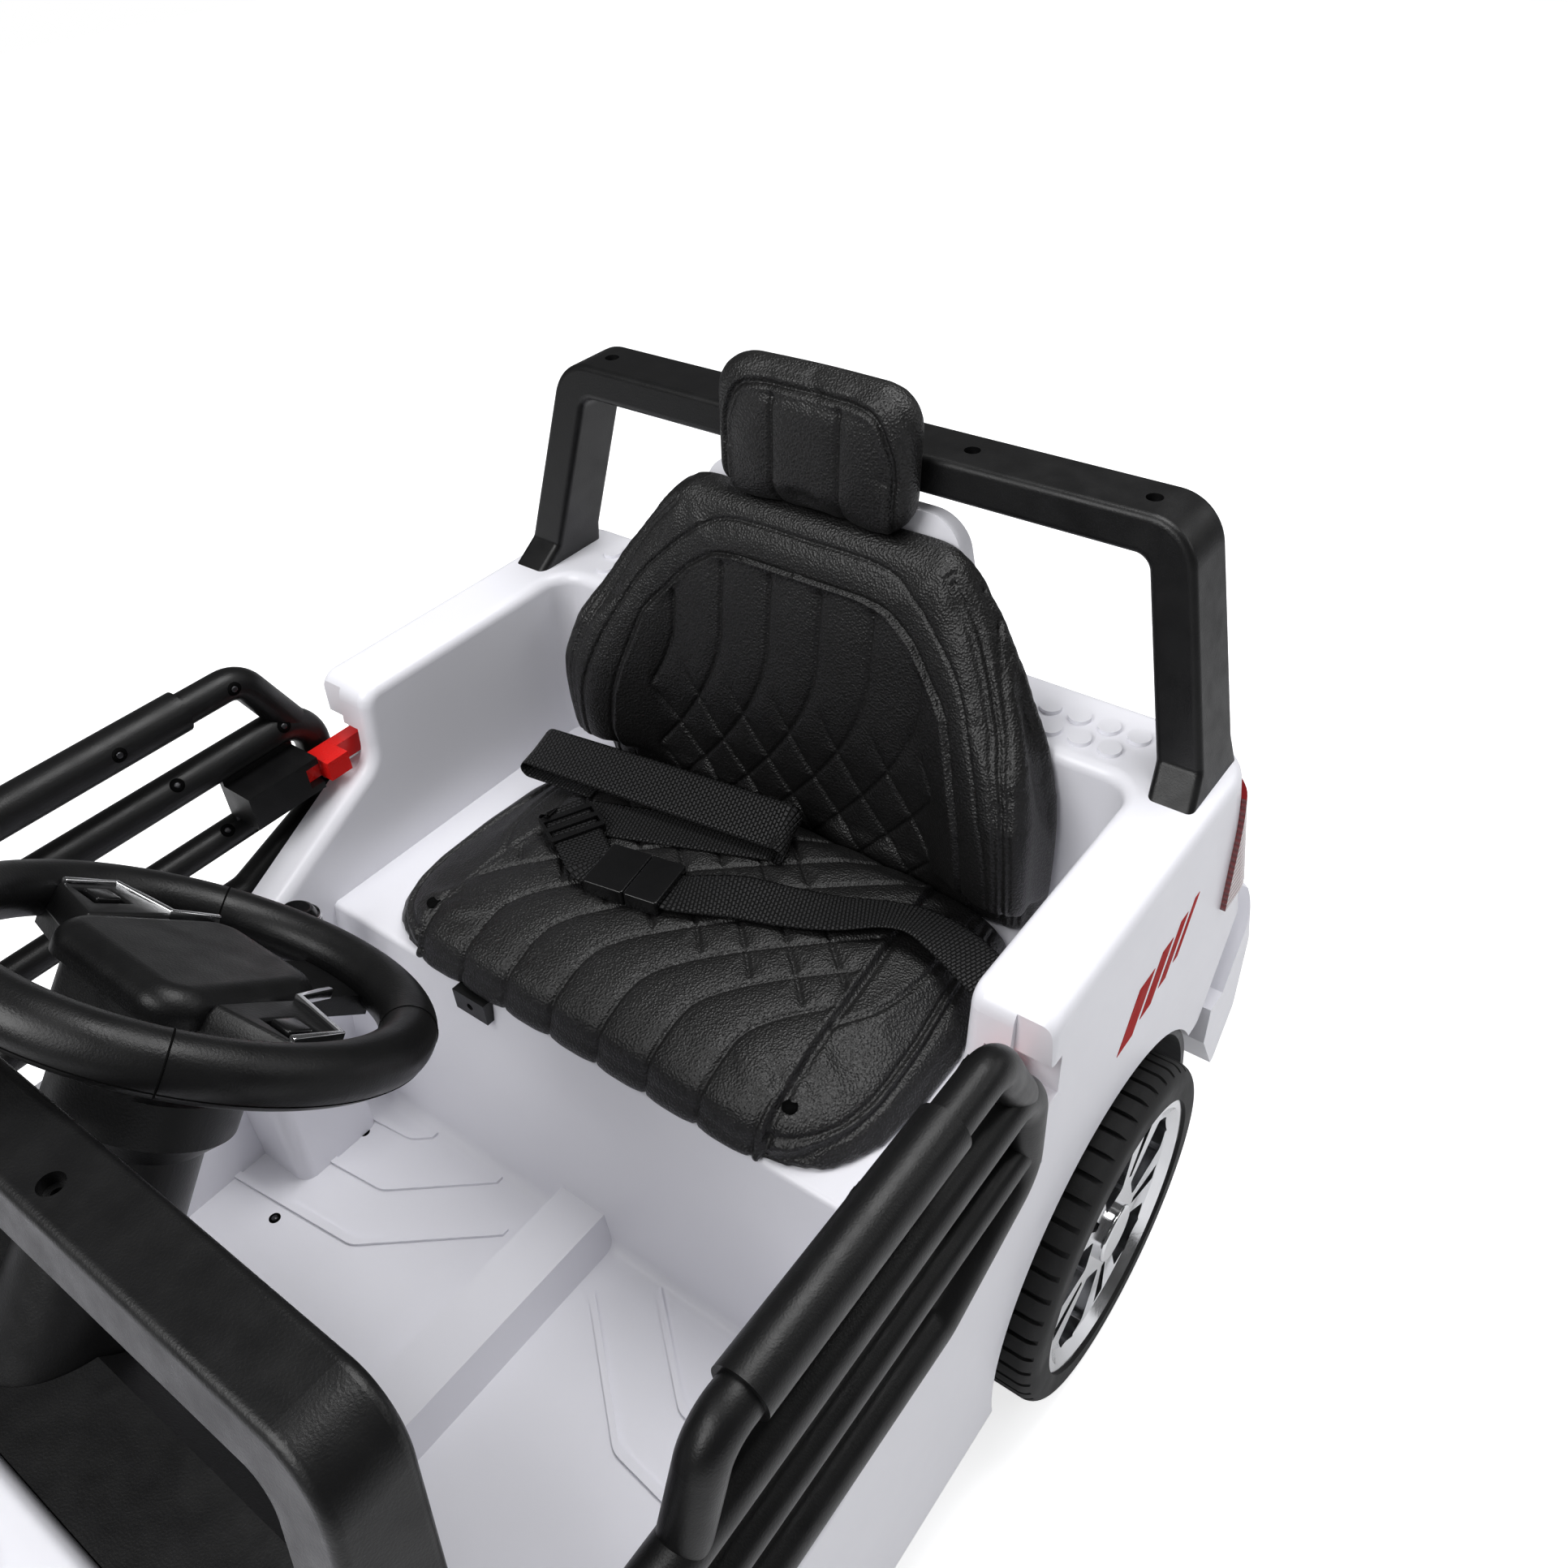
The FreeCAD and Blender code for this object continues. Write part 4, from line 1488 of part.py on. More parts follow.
make_tub()
make_seat_tab()
make_front_body()
make_bonnet()
make_grille()
make_headlights()
make_front_bumper()
make_rear_bumper()
make_tail_lamps()
make_arch_liners()
make_pan()
make_rear_axle()
make_battery()
make_control_box()
make_tie_rod()
make_steering_wheel()
make_steering_pad()
make_steering_trim()
make_steering_shaft()
make_column_shroud()
make_dashboard()
make_power_switch()
make_pedal()
make_direction_lever()
make_roll_bar()
make_windscreen_frame()
make_door_hinges()
make_seat_base()
make_seat_back()
make_headrest()
make_belt_right()
make_belt_left()
make_adjuster()
make_buckle()
FRONT_HUB_END = "king_pin_x + hub_radius"
REAR_HUB_END = "gearbox_outer_x + 3 * clearance"
for side, sign in SIDES.items():
    make_drive(side, sign)
    make_tyre("rear_tyre_" + side, sign, "rear_axle_y")
    make_tyre("front_tyre_" + side, sign, "front_axle_y")
    make_rim("rear_rim_" + side, sign, "rear_axle_y", REAR_HUB_END, "drive_hub_radius")
    make_rim("front_rim_" + side, sign, "front_axle_y", FRONT_HUB_END, "hub_radius")
    make_knuckle(side, sign)
    make_spoke_button(side, sign)
    make_door(side, sign)


# Check and write

def write_parts():
    DOC.recompute()
    for thing in DOC.Objects:
        if "Invalid" in thing.State or "Error" in thing.State:
            raise ValueError("%s (%s) failed" % (thing.Name, thing.Label))
    os.makedirs("parts", exist_ok=True)
    for name, thing in NODES.items():
        shape = thing.Shape
        if shape.isNull() or not shape.isValid():
            raise ValueError(name + " has no valid shape")
        print("%-24s solids %d  volume %.0f" % (name, len(shape.Solids), shape.Volume))
    for name, thing in NODES.items():
        thing.Shape.exportStep(os.path.join("parts", name + ".step"))


write_parts()
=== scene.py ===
import json
import math

import bmesh
import bpy
import numpy as np
from mathutils import Matrix, Vector


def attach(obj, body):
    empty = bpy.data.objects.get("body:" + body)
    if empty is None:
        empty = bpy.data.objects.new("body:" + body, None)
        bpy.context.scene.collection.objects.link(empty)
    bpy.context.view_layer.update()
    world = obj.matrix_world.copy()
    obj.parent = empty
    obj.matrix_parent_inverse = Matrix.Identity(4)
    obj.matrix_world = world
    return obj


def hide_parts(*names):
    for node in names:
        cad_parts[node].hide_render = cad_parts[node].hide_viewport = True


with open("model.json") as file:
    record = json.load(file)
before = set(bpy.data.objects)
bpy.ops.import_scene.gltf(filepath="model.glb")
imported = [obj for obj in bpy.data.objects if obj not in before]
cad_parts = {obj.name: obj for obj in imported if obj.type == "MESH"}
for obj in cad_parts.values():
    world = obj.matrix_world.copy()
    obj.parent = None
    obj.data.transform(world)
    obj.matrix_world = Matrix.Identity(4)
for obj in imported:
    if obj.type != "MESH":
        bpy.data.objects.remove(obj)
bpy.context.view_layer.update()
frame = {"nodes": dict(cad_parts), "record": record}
NODES = frame["nodes"]
MM = 0.001


# Camera: the photograph's viewpoint

def add_camera(eye_mm, azimuth, elevation, roll, lens):
    a, e, r = (math.radians(angle) for angle in (azimuth, elevation, roll))
    back = Vector((math.sin(a) * math.cos(e), -math.cos(a) * math.cos(e), math.sin(e)))
    right = Vector((math.cos(a), math.sin(a), 0))
    up = back.cross(right)
    turned_right = right * math.cos(r) + up * math.sin(r)
    turned_up = up * math.cos(r) - right * math.sin(r)
    camera = bpy.data.objects.new("camera", bpy.data.cameras.new("camera"))
    camera.data.sensor_width = 36
    camera.data.lens = lens
    camera.data.clip_start = 0.01
    camera.matrix_world = Matrix.Translation(Vector(eye_mm) * MM) @ Matrix(
        (turned_right, turned_up, back)).transposed().to_4x4()
    bpy.context.scene.collection.objects.link(camera)
    bpy.context.scene.camera = camera


add_camera(eye_mm=(497.874, -271.496, 1026.536), azimuth=38.754, elevation=38.903, roll=-3.521, lens=30.967)


# Light, floor and backdrop

def add_softbox(name, place, target, size, power):
    lamp = bpy.data.lights.new(name, "AREA")
    lamp.shape = "RECTANGLE"
    lamp.size, lamp.size_y = size
    lamp.energy = power
    box = bpy.data.objects.new(name, lamp)
    box.location = place
    box.rotation_euler = (Vector(target) - Vector(place)).to_track_quat("-Z", "Y").to_euler()
    bpy.context.scene.collection.objects.link(box)


def set_world(lighting, reflected):
    """White to the camera, dimmer as light and dimmer still in reflections."""
    world = bpy.data.worlds.new("studio")
    bpy.context.scene.world = world
    world.use_nodes = True
    nodes, links = world.node_tree.nodes, world.node_tree.links
    path = nodes.new("ShaderNodeLightPath")
    shown = nodes["Background"].outputs[0]
    nodes["Background"].inputs["Color"].default_value = (0.97, 0.98, 1, 1)
    nodes["Background"].inputs["Strength"].default_value = lighting
    for ray, strength in (("Is Glossy Ray", reflected), ("Is Camera Ray", 1), ("Is Transmission Ray", 1)):
        sky = nodes.new("ShaderNodeBackground")
        sky.inputs["Color"].default_value = (1, 1, 1, 1)
        sky.inputs["Strength"].default_value = strength
        mix = nodes.new("ShaderNodeMixShader")
        links.new(path.outputs[ray], mix.inputs[0])
        links.new(shown, mix.inputs[1])
        links.new(sky.outputs[0], mix.inputs[2])
        shown = mix.outputs[0]
    links.new(shown, nodes["World Output"].inputs["Surface"])


def add_floor(glow):
    """Pale floor that takes the shadow and reads as white to the camera."""
    bpy.ops.mesh.primitive_plane_add(size=12, location=(0, 0, 0))
    floor = bpy.context.object
    floor.name = "floor"
    paint = bpy.data.materials.new("pale_floor")
    paint.use_nodes = True
    nodes, links = paint.node_tree.nodes, paint.node_tree.links
    shade = nodes["Principled BSDF"]
    shade.inputs["Base Color"].default_value = (0.9, 0.9, 0.91, 1)
    shade.inputs["Roughness"].default_value = 0.9
    shade.inputs["Specular IOR Level"].default_value = 0.1
    lift = nodes.new("ShaderNodeEmission")
    lift.inputs["Color"].default_value = (1, 1, 1, 1)
    lift.inputs["Strength"].default_value = glow
    both = nodes.new("ShaderNodeAddShader")
    mix = nodes.new("ShaderNodeMixShader")
    path = nodes.new("ShaderNodeLightPath")
    links.new(shade.outputs[0], both.inputs[0])
    links.new(lift.outputs[0], both.inputs[1])
    links.new(path.outputs["Is Camera Ray"], mix.inputs[0])
    links.new(shade.outputs[0], mix.inputs[1])
    links.new(both.outputs[0], mix.inputs[2])
    links.new(mix.outputs[0], nodes["Material Output"].inputs["Surface"])
    floor.data.materials.append(paint)


set_world(lighting=0.38, reflected=0.08)
add_floor(glow=0.7)
add_softbox("key", place=(-0.4, -1.9, 2.5), target=(0, 0.1, 0.3), size=(1.8, 1.8), power=62)
add_softbox("overhead", place=(0.25, 0.85, 2.3), target=(0, 0.3, 0.4), size=(1.1, 1.1), power=24)
add_softbox("rear_strip", place=(1.5, 1.7, 1.6), target=(0.1, 0.3, 0.5), size=(1.6, 0.5), power=5)


# Materials

def new_paint(name, color, roughness, metallic=0, coat=0, coat_roughness=0.1, specular=0.5):
    """Principled material whose plain values sit on the shader's own sockets."""
    paint = bpy.data.materials.new(name)
    paint.use_nodes = True
    shade = paint.node_tree.nodes["Principled BSDF"]
    for socket, value in (("Base Color", (*color, 1)), ("Roughness", roughness), ("Metallic", metallic),
                          ("Coat Weight", coat), ("Coat Roughness", coat_roughness),
                          ("Specular IOR Level", specular)):
        shade.inputs[socket].default_value = value
    return paint, paint.node_tree.nodes, paint.node_tree.links, shade


def add_noise(nodes, links, scale, detail=3):
    """Noise in metres of the part's own frame."""
    place = nodes.new("ShaderNodeTexCoord")
    noise = nodes.new("ShaderNodeTexNoise")
    noise.inputs["Scale"].default_value = scale
    noise.inputs["Detail"].default_value = detail
    links.new(place.outputs["Object"], noise.inputs["Vector"])
    return noise.outputs["Fac"]


def spread(nodes, links, value, low, high, start=0.3, end=0.7):
    """Stretch a value onto a range."""
    stretch = nodes.new("ShaderNodeMapRange")
    for socket, number in (("From Min", start), ("From Max", end), ("To Min", low), ("To Max", high)):
        stretch.inputs[socket].default_value = number
    links.new(value, stretch.inputs["Value"])
    return stretch.outputs["Result"]


def vary_color(nodes, links, shade, value, first, last):
    """Base colour that wanders between two colours."""
    mix = nodes.new("ShaderNodeMix")
    mix.data_type = "RGBA"
    mix.inputs["A"].default_value = (*first, 1)
    mix.inputs["B"].default_value = (*last, 1)
    links.new(value, mix.inputs["Factor"])
    links.new(mix.outputs["Result"], shade.inputs["Base Color"])


def add_bump(nodes, links, shade, height, distance):
    """Bump in metres, stacked on any bump already there."""
    bump = nodes.new("ShaderNodeBump")
    bump.inputs["Strength"].default_value = 1
    bump.inputs["Distance"].default_value = distance
    links.new(height, bump.inputs["Height"])
    below = shade.inputs["Normal"].links
    if below:
        links.new(below[0].from_socket, bump.inputs["Normal"])
    links.new(bump.outputs["Normal"], shade.inputs["Normal"])


def scaled(color, factor):
    return tuple(channel * factor for channel in color)


def moulded_plastic(name, color, roughness, grain_scale, grain_height, coat=0, swing=0.05, specular=0.5):
    """Moulded plastic: faint flow marks, uneven gloss and a fine surface grain."""
    paint, nodes, links, shade = new_paint(name, color, roughness, coat=coat, coat_roughness=roughness * 0.6,
                                            specular=specular)
    flow = add_noise(nodes, links, 9)
    vary_color(nodes, links, shade, spread(nodes, links, flow, 0, 1), scaled(color, 1 - swing), color)
    smudge = add_noise(nodes, links, 60, 4)
    links.new(spread(nodes, links, smudge, roughness * 0.85, roughness * 1.15), shade.inputs["Roughness"])
    add_bump(nodes, links, shade, add_noise(nodes, links, grain_scale, 2), grain_height)
    return paint


def leather(name, color):
    """Pebbled leather: cells with soft creases between them."""
    paint, nodes, links, shade = new_paint(name, color, 0.38, specular=0.6)
    place = nodes.new("ShaderNodeTexCoord")
    cells = nodes.new("ShaderNodeTexVoronoi")
    cells.feature = "SMOOTH_F1"
    cells.inputs["Scale"].default_value = 600
    cells.inputs["Smoothness"].default_value = 0.6
    links.new(place.outputs["Object"], cells.inputs["Vector"])
    wear = add_noise(nodes, links, 25, 3)
    vary_color(nodes, links, shade, spread(nodes, links, wear, 0, 1), scaled(color, 0.8), scaled(color, 1.25))
    links.new(spread(nodes, links, cells.outputs["Distance"], 0.34, 0.5, 0.1, 0.6), shade.inputs["Roughness"])
    add_bump(nodes, links, shade, add_noise(nodes, links, 200, 2), 0.00006)
    add_bump(nodes, links, shade, spread(nodes, links, cells.outputs["Distance"], 1, 0, 0, 0.7), 0.00042)
    return paint


def webbing_cloth(name, color):
    """Woven webbing: ribs across the strap, broken by the warp, in the strap's own coordinates."""
    paint, nodes, links, shade = new_paint(name, color, 0.55, specular=0.4)
    place = nodes.new("ShaderNodeTexCoord")
    weave = nodes.new("ShaderNodeTexBrick")
    weave.offset = 0.5
    for socket, value in (("Scale", 1), ("Mortar Size", 0.0007), ("Mortar Smooth", 1), ("Brick Width", 0.0042),
                          ("Row Height", 0.0027)):
        weave.inputs[socket].default_value = value
    links.new(place.outputs["UV"], weave.inputs["Vector"])
    vary_color(nodes, links, shade, weave.outputs["Fac"], scaled(color, 1.9), scaled(color, 0.05))
    add_bump(nodes, links, shade, spread(nodes, links, weave.outputs["Fac"], 1, 0, 0, 1), 0.0022)
    add_bump(nodes, links, shade, add_noise(nodes, links, 900, 2), 0.0001)
    return paint


def rubber(name, color):
    """Dull rubber with dust in its pores."""
    paint, nodes, links, shade = new_paint(name, color, 0.7, specular=0.35)
    dust = add_noise(nodes, links, 35, 5)
    vary_color(nodes, links, shade, spread(nodes, links, dust, 0, 1), color, scaled(color, 1.8))
    links.new(spread(nodes, links, dust, 0.6, 0.8), shade.inputs["Roughness"])
    add_bump(nodes, links, shade, add_noise(nodes, links, 700, 2), 0.00015)
    return paint


def metal(name, color, roughness, scratch):
    """Plated or drawn metal with uneven polish."""
    paint, nodes, links, shade = new_paint(name, color, roughness, metallic=1)
    cloud = add_noise(nodes, links, 40, 4)
    vary_color(nodes, links, shade, spread(nodes, links, cloud, 0, 1), scaled(color, 0.9), color)
    links.new(spread(nodes, links, cloud, roughness * 0.6, roughness * 1.5), shade.inputs["Roughness"])
    add_bump(nodes, links, shade, add_noise(nodes, links, 350, 2), scratch)
    return paint


def lens(name, color, fluting):
    """Coloured lamp lens with moulded flutes behind a glossy face."""
    paint, nodes, links, shade = new_paint(name, color, 0.12, coat=0.6, coat_roughness=0.05)
    place = nodes.new("ShaderNodeTexCoord")
    flutes = nodes.new("ShaderNodeTexWave")
    flutes.bands_direction = "Z"
    flutes.inputs["Scale"].default_value = fluting
    links.new(place.outputs["Object"], flutes.inputs["Vector"])
    vary_color(nodes, links, shade, flutes.outputs["Fac"], scaled(color, 0.55), color)
    add_bump(nodes, links, shade, flutes.outputs["Fac"], 0.0006)
    return paint


PAINTS = {
    "white_plastic": moulded_plastic("white_plastic", (0.85, 0.847, 0.895), 0.34, 260, 0.00004, coat=0.12,
                                     swing=0.02),
    "black_plastic": moulded_plastic("black_plastic", (0.005, 0.005, 0.0053), 0.4, 900, 0.00012, specular=0.4),
    "black_gloss": moulded_plastic("black_gloss", (0.005, 0.005, 0.0053), 0.24, 500, 0.00005, coat=0.2, specular=0.4),
    "grey_liner": moulded_plastic("grey_liner", (0.06, 0.06, 0.064), 0.6, 500, 0.0002),
    "red_plastic": moulded_plastic("red_plastic", (0.72, 0.012, 0.01), 0.3, 500, 0.00004, coat=0.2),
    "battery_case": moulded_plastic("battery_case", (0.08, 0.085, 0.1), 0.5, 500, 0.00015),
    "leather": leather("leather", (0.0042, 0.004, 0.004)),
    "webbing": webbing_cloth("webbing", (0.008, 0.008, 0.0084)),
    "tyre": rubber("tyre", (0.012, 0.012, 0.0122)),
    "bright_rim": metal("bright_rim", (0.78, 0.785, 0.8), 0.12, 0.00003),
    "steel": metal("steel", (0.5, 0.5, 0.52), 0.34, 0.00006),
    "dark_steel": metal("dark_steel", (0.09, 0.09, 0.095), 0.4, 0.00006),
    "red_lens": lens("red_lens", (0.2, 0.006, 0.008), 60),
    "clear_lens": lens("clear_lens", (0.75, 0.78, 0.8), 60),
    # dark_hole: matte near-black with almost no gloss, painted shade in the screw holes and the steering wheel's seam
    # lines
    "dark_hole": moulded_plastic("dark_hole", (0.002, 0.002, 0.002), 0.8, 500, 0.0001, specular=0.05),
    "red_film": moulded_plastic("red_film", (0.45, 0.008, 0.006), 0.6, 500, 0.00002, swing=0.12, specular=0.06),
}


def paint_nodes():
    """Give every carried-over node its slot's material."""
    for entry in frame["record"]["subparts"]:
        mesh = NODES[entry["node"]].data
        mesh.materials.clear()
        mesh.materials.append(PAINTS[entry["material_slot"]])


paint_nodes()


# Meshes

def new_piece(name, body, paint, vertices, faces, smooth=True):
    """Mesh in millimetres of the row frame that rides a body."""
    mesh = bpy.data.meshes.new(name)
    mesh.from_pydata([tuple(value * MM for value in point) for point in vertices], [], faces)
    mesh.update()
    mesh.polygons.foreach_set("use_smooth", [smooth] * len(mesh.polygons))
    piece = bpy.data.objects.new(name, mesh)
    bpy.context.scene.collection.objects.link(piece)
    mesh.materials.append(paint)
    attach(piece, body)
    return piece


def loft(rings):
    """Vertices and faces of a closed form through rings of equal length."""
    count = len(rings[0])
    vertices = [point for ring in rings for point in ring]
    faces = []
    for i in range(len(rings) - 1):
        for j in range(count):
            k = (j + 1) % count
            faces.append((i * count + j, i * count + k, (i + 1) * count + k, (i + 1) * count + j))
    faces.append(tuple(range(count))[::-1])
    faces.append(tuple((len(rings) - 1) * count + j for j in range(count)))
    return vertices, faces


def read_points(mesh):
    points = np.empty(len(mesh.vertices) * 3)
    mesh.vertices.foreach_get("co", points)
    return points.reshape(-1, 3) / MM


def write_points(mesh, points):
    mesh.vertices.foreach_set("co", (points * MM).ravel())
    mesh.update()


def read_normals(mesh):
    normals = np.empty(len(mesh.vertices) * 3)
    mesh.vertex_normals.foreach_get("vector", normals)
    return normals.reshape(-1, 3)


def apply_modifier(piece, name):
    with bpy.context.temp_override(object=piece, active_object=piece):
        bpy.ops.object.modifier_apply(modifier=name)


def remesh(piece, voxel, rounds):
    """Even mesh of the given cell size, with its steps smoothed away."""
    change = piece.modifiers.new("remesh", "REMESH")
    change.mode = "VOXEL"
    change.voxel_size = voxel * MM
    change.use_smooth_shade = True
    apply_modifier(piece, "remesh")
    ease = piece.modifiers.new("ease", "SMOOTH")
    ease.factor = 0.5
    ease.iterations = rounds
    apply_modifier(piece, "ease")


PRESSURE = 4
LAST_FRAME = 20


def swell(piece, held, cap):
    """Blow a pad up with a short cloth simulation; held points stay and none moves past the cap."""
    before = read_points(piece.data)
    group = piece.vertex_groups.new(name="held")
    group.add([int(i) for i in np.nonzero(held(before))[0]], 1, "REPLACE")
    cloth = piece.modifiers.new("cloth", "CLOTH")
    cloth.settings.use_pressure = True
    cloth.settings.uniform_pressure_force = PRESSURE
    cloth.settings.vertex_group_mass = "held"
    cloth.settings.effector_weights.gravity = 0
    cloth.point_cache.frame_end = LAST_FRAME
    for step in range(1, LAST_FRAME + 1):
        bpy.context.scene.frame_set(step)
    apply_modifier(piece, "cloth")
    bpy.context.scene.frame_set(1)
    piece.vertex_groups.clear()
    moved = read_points(piece.data) - before
    far = np.linalg.norm(moved, axis=1, keepdims=True)
    write_points(piece.data, before + moved * np.minimum(1, cap / np.maximum(far, 1e-6)))


def subdivide(piece, levels):
    change = piece.modifiers.new("finer", "SUBSURF")
    change.levels = levels
    change.render_levels = levels
    apply_modifier(piece, "finer")
    piece.data.polygons.foreach_set("use_smooth", [True] * len(piece.data.polygons))


def smoothstep(value, low, high):
    share = np.clip((value - low) / (high - low), 0, 1)
    return share * share * (3 - 2 * share)


def line_distance(u, v, points):
    """Distance of many places to a line through a few points."""
    best = np.full(u.shape, 1e9)
    for (u0, v0), (u1, v1) in zip(points, points[1:]):
        du, dv = u1 - u0, v1 - v0
        share = np.clip(((u - u0) * du + (v - v0) * dv) / (du * du + dv * dv), 0, 1)
        best = np.minimum(best, np.hypot(u - u0 - share * du, v - v0 - share * dv))
    return best


def smooth_line(points, steps=8):
    """Curve through a few points."""
    padded_points = [points[0]] + list(points) + [points[-1]]
    curve = []
    for a, b, c, d in zip(padded_points, padded_points[1:], padded_points[2:], padded_points[3:]):
        a, b, c, d = (np.array(point, float) for point in (a, b, c, d))
        for step in range(steps):
            t = step / steps
            curve.append(tuple(0.5 * (2 * b + (c - a) * t + (2 * a - 5 * b + 4 * c - d) * t * t
                                      + (3 * b - a - 3 * c + d) * t ** 3)))
    return curve + [tuple(points[-1])]


# Seat cushions

PITCH = 43.4


def groove(distance, depth, width):
    return -depth * np.exp(-(distance / width) ** 2)


def quilting(u, run, bend, reach, leading):
    """Seams that run straight, then part to both sides and cross; one way leads and the other comes in later."""
    past = np.maximum(run, 0)
    part = reach * past * past / (past + bend)
    slope = reach * past * (past + 2 * bend) / (past + bend) ** 2
    depths = np.zeros(u.shape)
    for way in (-1, 1):
        nearest = np.full(u.shape, 1e9)
        for i in range(-5, 5):
            nearest = np.minimum(nearest, np.abs(u - (i + 0.5) * PITCH - way * part))
        nearest /= np.hypot(1, slope)
        seam = groove(nearest, 2, 1.4) + groove(nearest, 1.4, 8)
        depths = np.minimum(depths, seam if way == leading else seam * smoothstep(run, 25, 60))
    return depths


def raise_points(piece, heights):
    """Move points along their normals."""
    write_points(piece.data, read_points(piece.data) + read_normals(piece.data) * heights[:, None])


def both_sides(u, v, points):
    return line_distance(np.abs(u), v, smooth_line(points))


SEAT_LOW = 318.4
SEAT_STATIONS = {  # along the car: half width, height
    103.5: (150, 9), 105: (160, 19), 108: (172, 26), 113: (184, 30.5), 121: (197, 33), 135: (208, 34.5),
    155: (216, 35), 180: (220, 35), 230: (221, 35), 280: (218, 35), 320: (208, 34), 342: (200, 33), 352: (194, 30),
    356: (188, 20)}


def make_seat_base():
    rings = []
    for y, (half, tall) in SEAT_STATIONS.items():
        top = []
        for angle in np.linspace(0, math.pi, 49):
            share = math.cos(angle)
            share = math.copysign(abs(share) ** 0.6, share)
            top.append((half * share, y, SEAT_LOW + tall * (1 - abs(share) ** 7) ** 0.42))
        bottom = [((half - 3) * share, y, SEAT_LOW) for share in np.linspace(-1, 1, 25)[1:-1]]
        rings.append(top + bottom)
    seat = new_piece("seat_base", "chassis", PAINTS["leather"], *loft(rings))
    remesh(seat, 5, 2)
    swell(seat, lambda p: p[:, 2] < SEAT_LOW + 2, cap=3)
    subdivide(seat, 2)
    points, normals = read_points(seat.data), read_normals(seat.data)
    u, v = points[:, 0], points[:, 1]
    facing = smoothstep(normals[:, 2] - normals[:, 1], -0.2, 0.5)
    panel = 157 - 0.1 * (v - 112)
    inside = panel - np.abs(u)
    on_panel = smoothstep(inside, -2, 2)
    heights = 3.5 * on_panel + groove(inside + 3.5, 1.6, 2.2)
    heights += on_panel * smoothstep(inside, 0, 8) * quilting(u, v - 150, 65, 1.36, 1)
    edge_line = ((158, 108), (178, 117), (194, 136), (202, 165), (202, 205), (199, 240), (193, 285), (183, 345))
    edge = both_sides(u, v, edge_line)
    heights += (1 - on_panel) * (groove(edge - 3, 1.4, 1.5) + groove(edge, -1.6, 1.6) + groove(edge, 0.8, 9))
    fold_line = ((152, 194), (159, 206), (168, 222), (174, 245), (177, 282), (172, 340))
    fold = both_sides(u, v, fold_line)
    heights += (1 - on_panel) * (groove(fold, 1.8, 2.2) - groove(fold, 1.2, 9))
    raise_points(seat, heights * facing)
    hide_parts("seat_base_cushion")
    return seat


BACK_STATIONS = {  # height: half width, thickness in the middle, depth of the wings
    319: (198, 30, 30), 324: (204, 33, 33), 335: (206, 34, 34), 353: (207, 33, 34), 356: (207, 31, 48),
    360: (207, 29, 60), 367: (207, 29, 64), 395: (207, 29, 66), 420: (207, 29, 66), 440: (206, 29, 64),
    472: (198, 29, 56), 500: (182, 29, 45), 520: (171, 29, 39), 545: (155, 28, 33), 562: (143, 28, 29),
    574: (133, 28, 28), 584: (123, 26, 26), 590: (114, 20, 20), 593: (104, 12, 12)}


def back_rear(z):
    """Rear face of the seat back: upright, then leaning with the moulding behind it."""
    return 391.4 if z < 470 else 395 + (z - 470) * 22 / 133


def back_half_ring(half, thick, wing):
    """Half a level section as (across, depth): side face, rounded wing, slope, flat middle."""
    turn = min(15, wing * 0.45)
    heel = [(half - 9 + 9 * math.sin(a), 9 - 9 * math.cos(a)) for a in np.linspace(0.15, math.pi / 2, 6)[:-1]]
    side = [(half - 3 * math.sin(math.pi * i / 7), 9 + (wing - turn - 9) * i / 7) for i in range(7)]
    quarter = np.linspace(0, math.pi / 2, 8)
    nose = [(half - turn + turn * math.cos(a), wing - turn + turn * math.sin(a)) for a in quarter]
    last = (half - turn) / half
    slope = [(half * s, thick + (wing - thick) * smoothstep(s, 0.5, last)) for s in np.linspace(last, 0, 30)[1:]]
    return heel + side + nose + slope


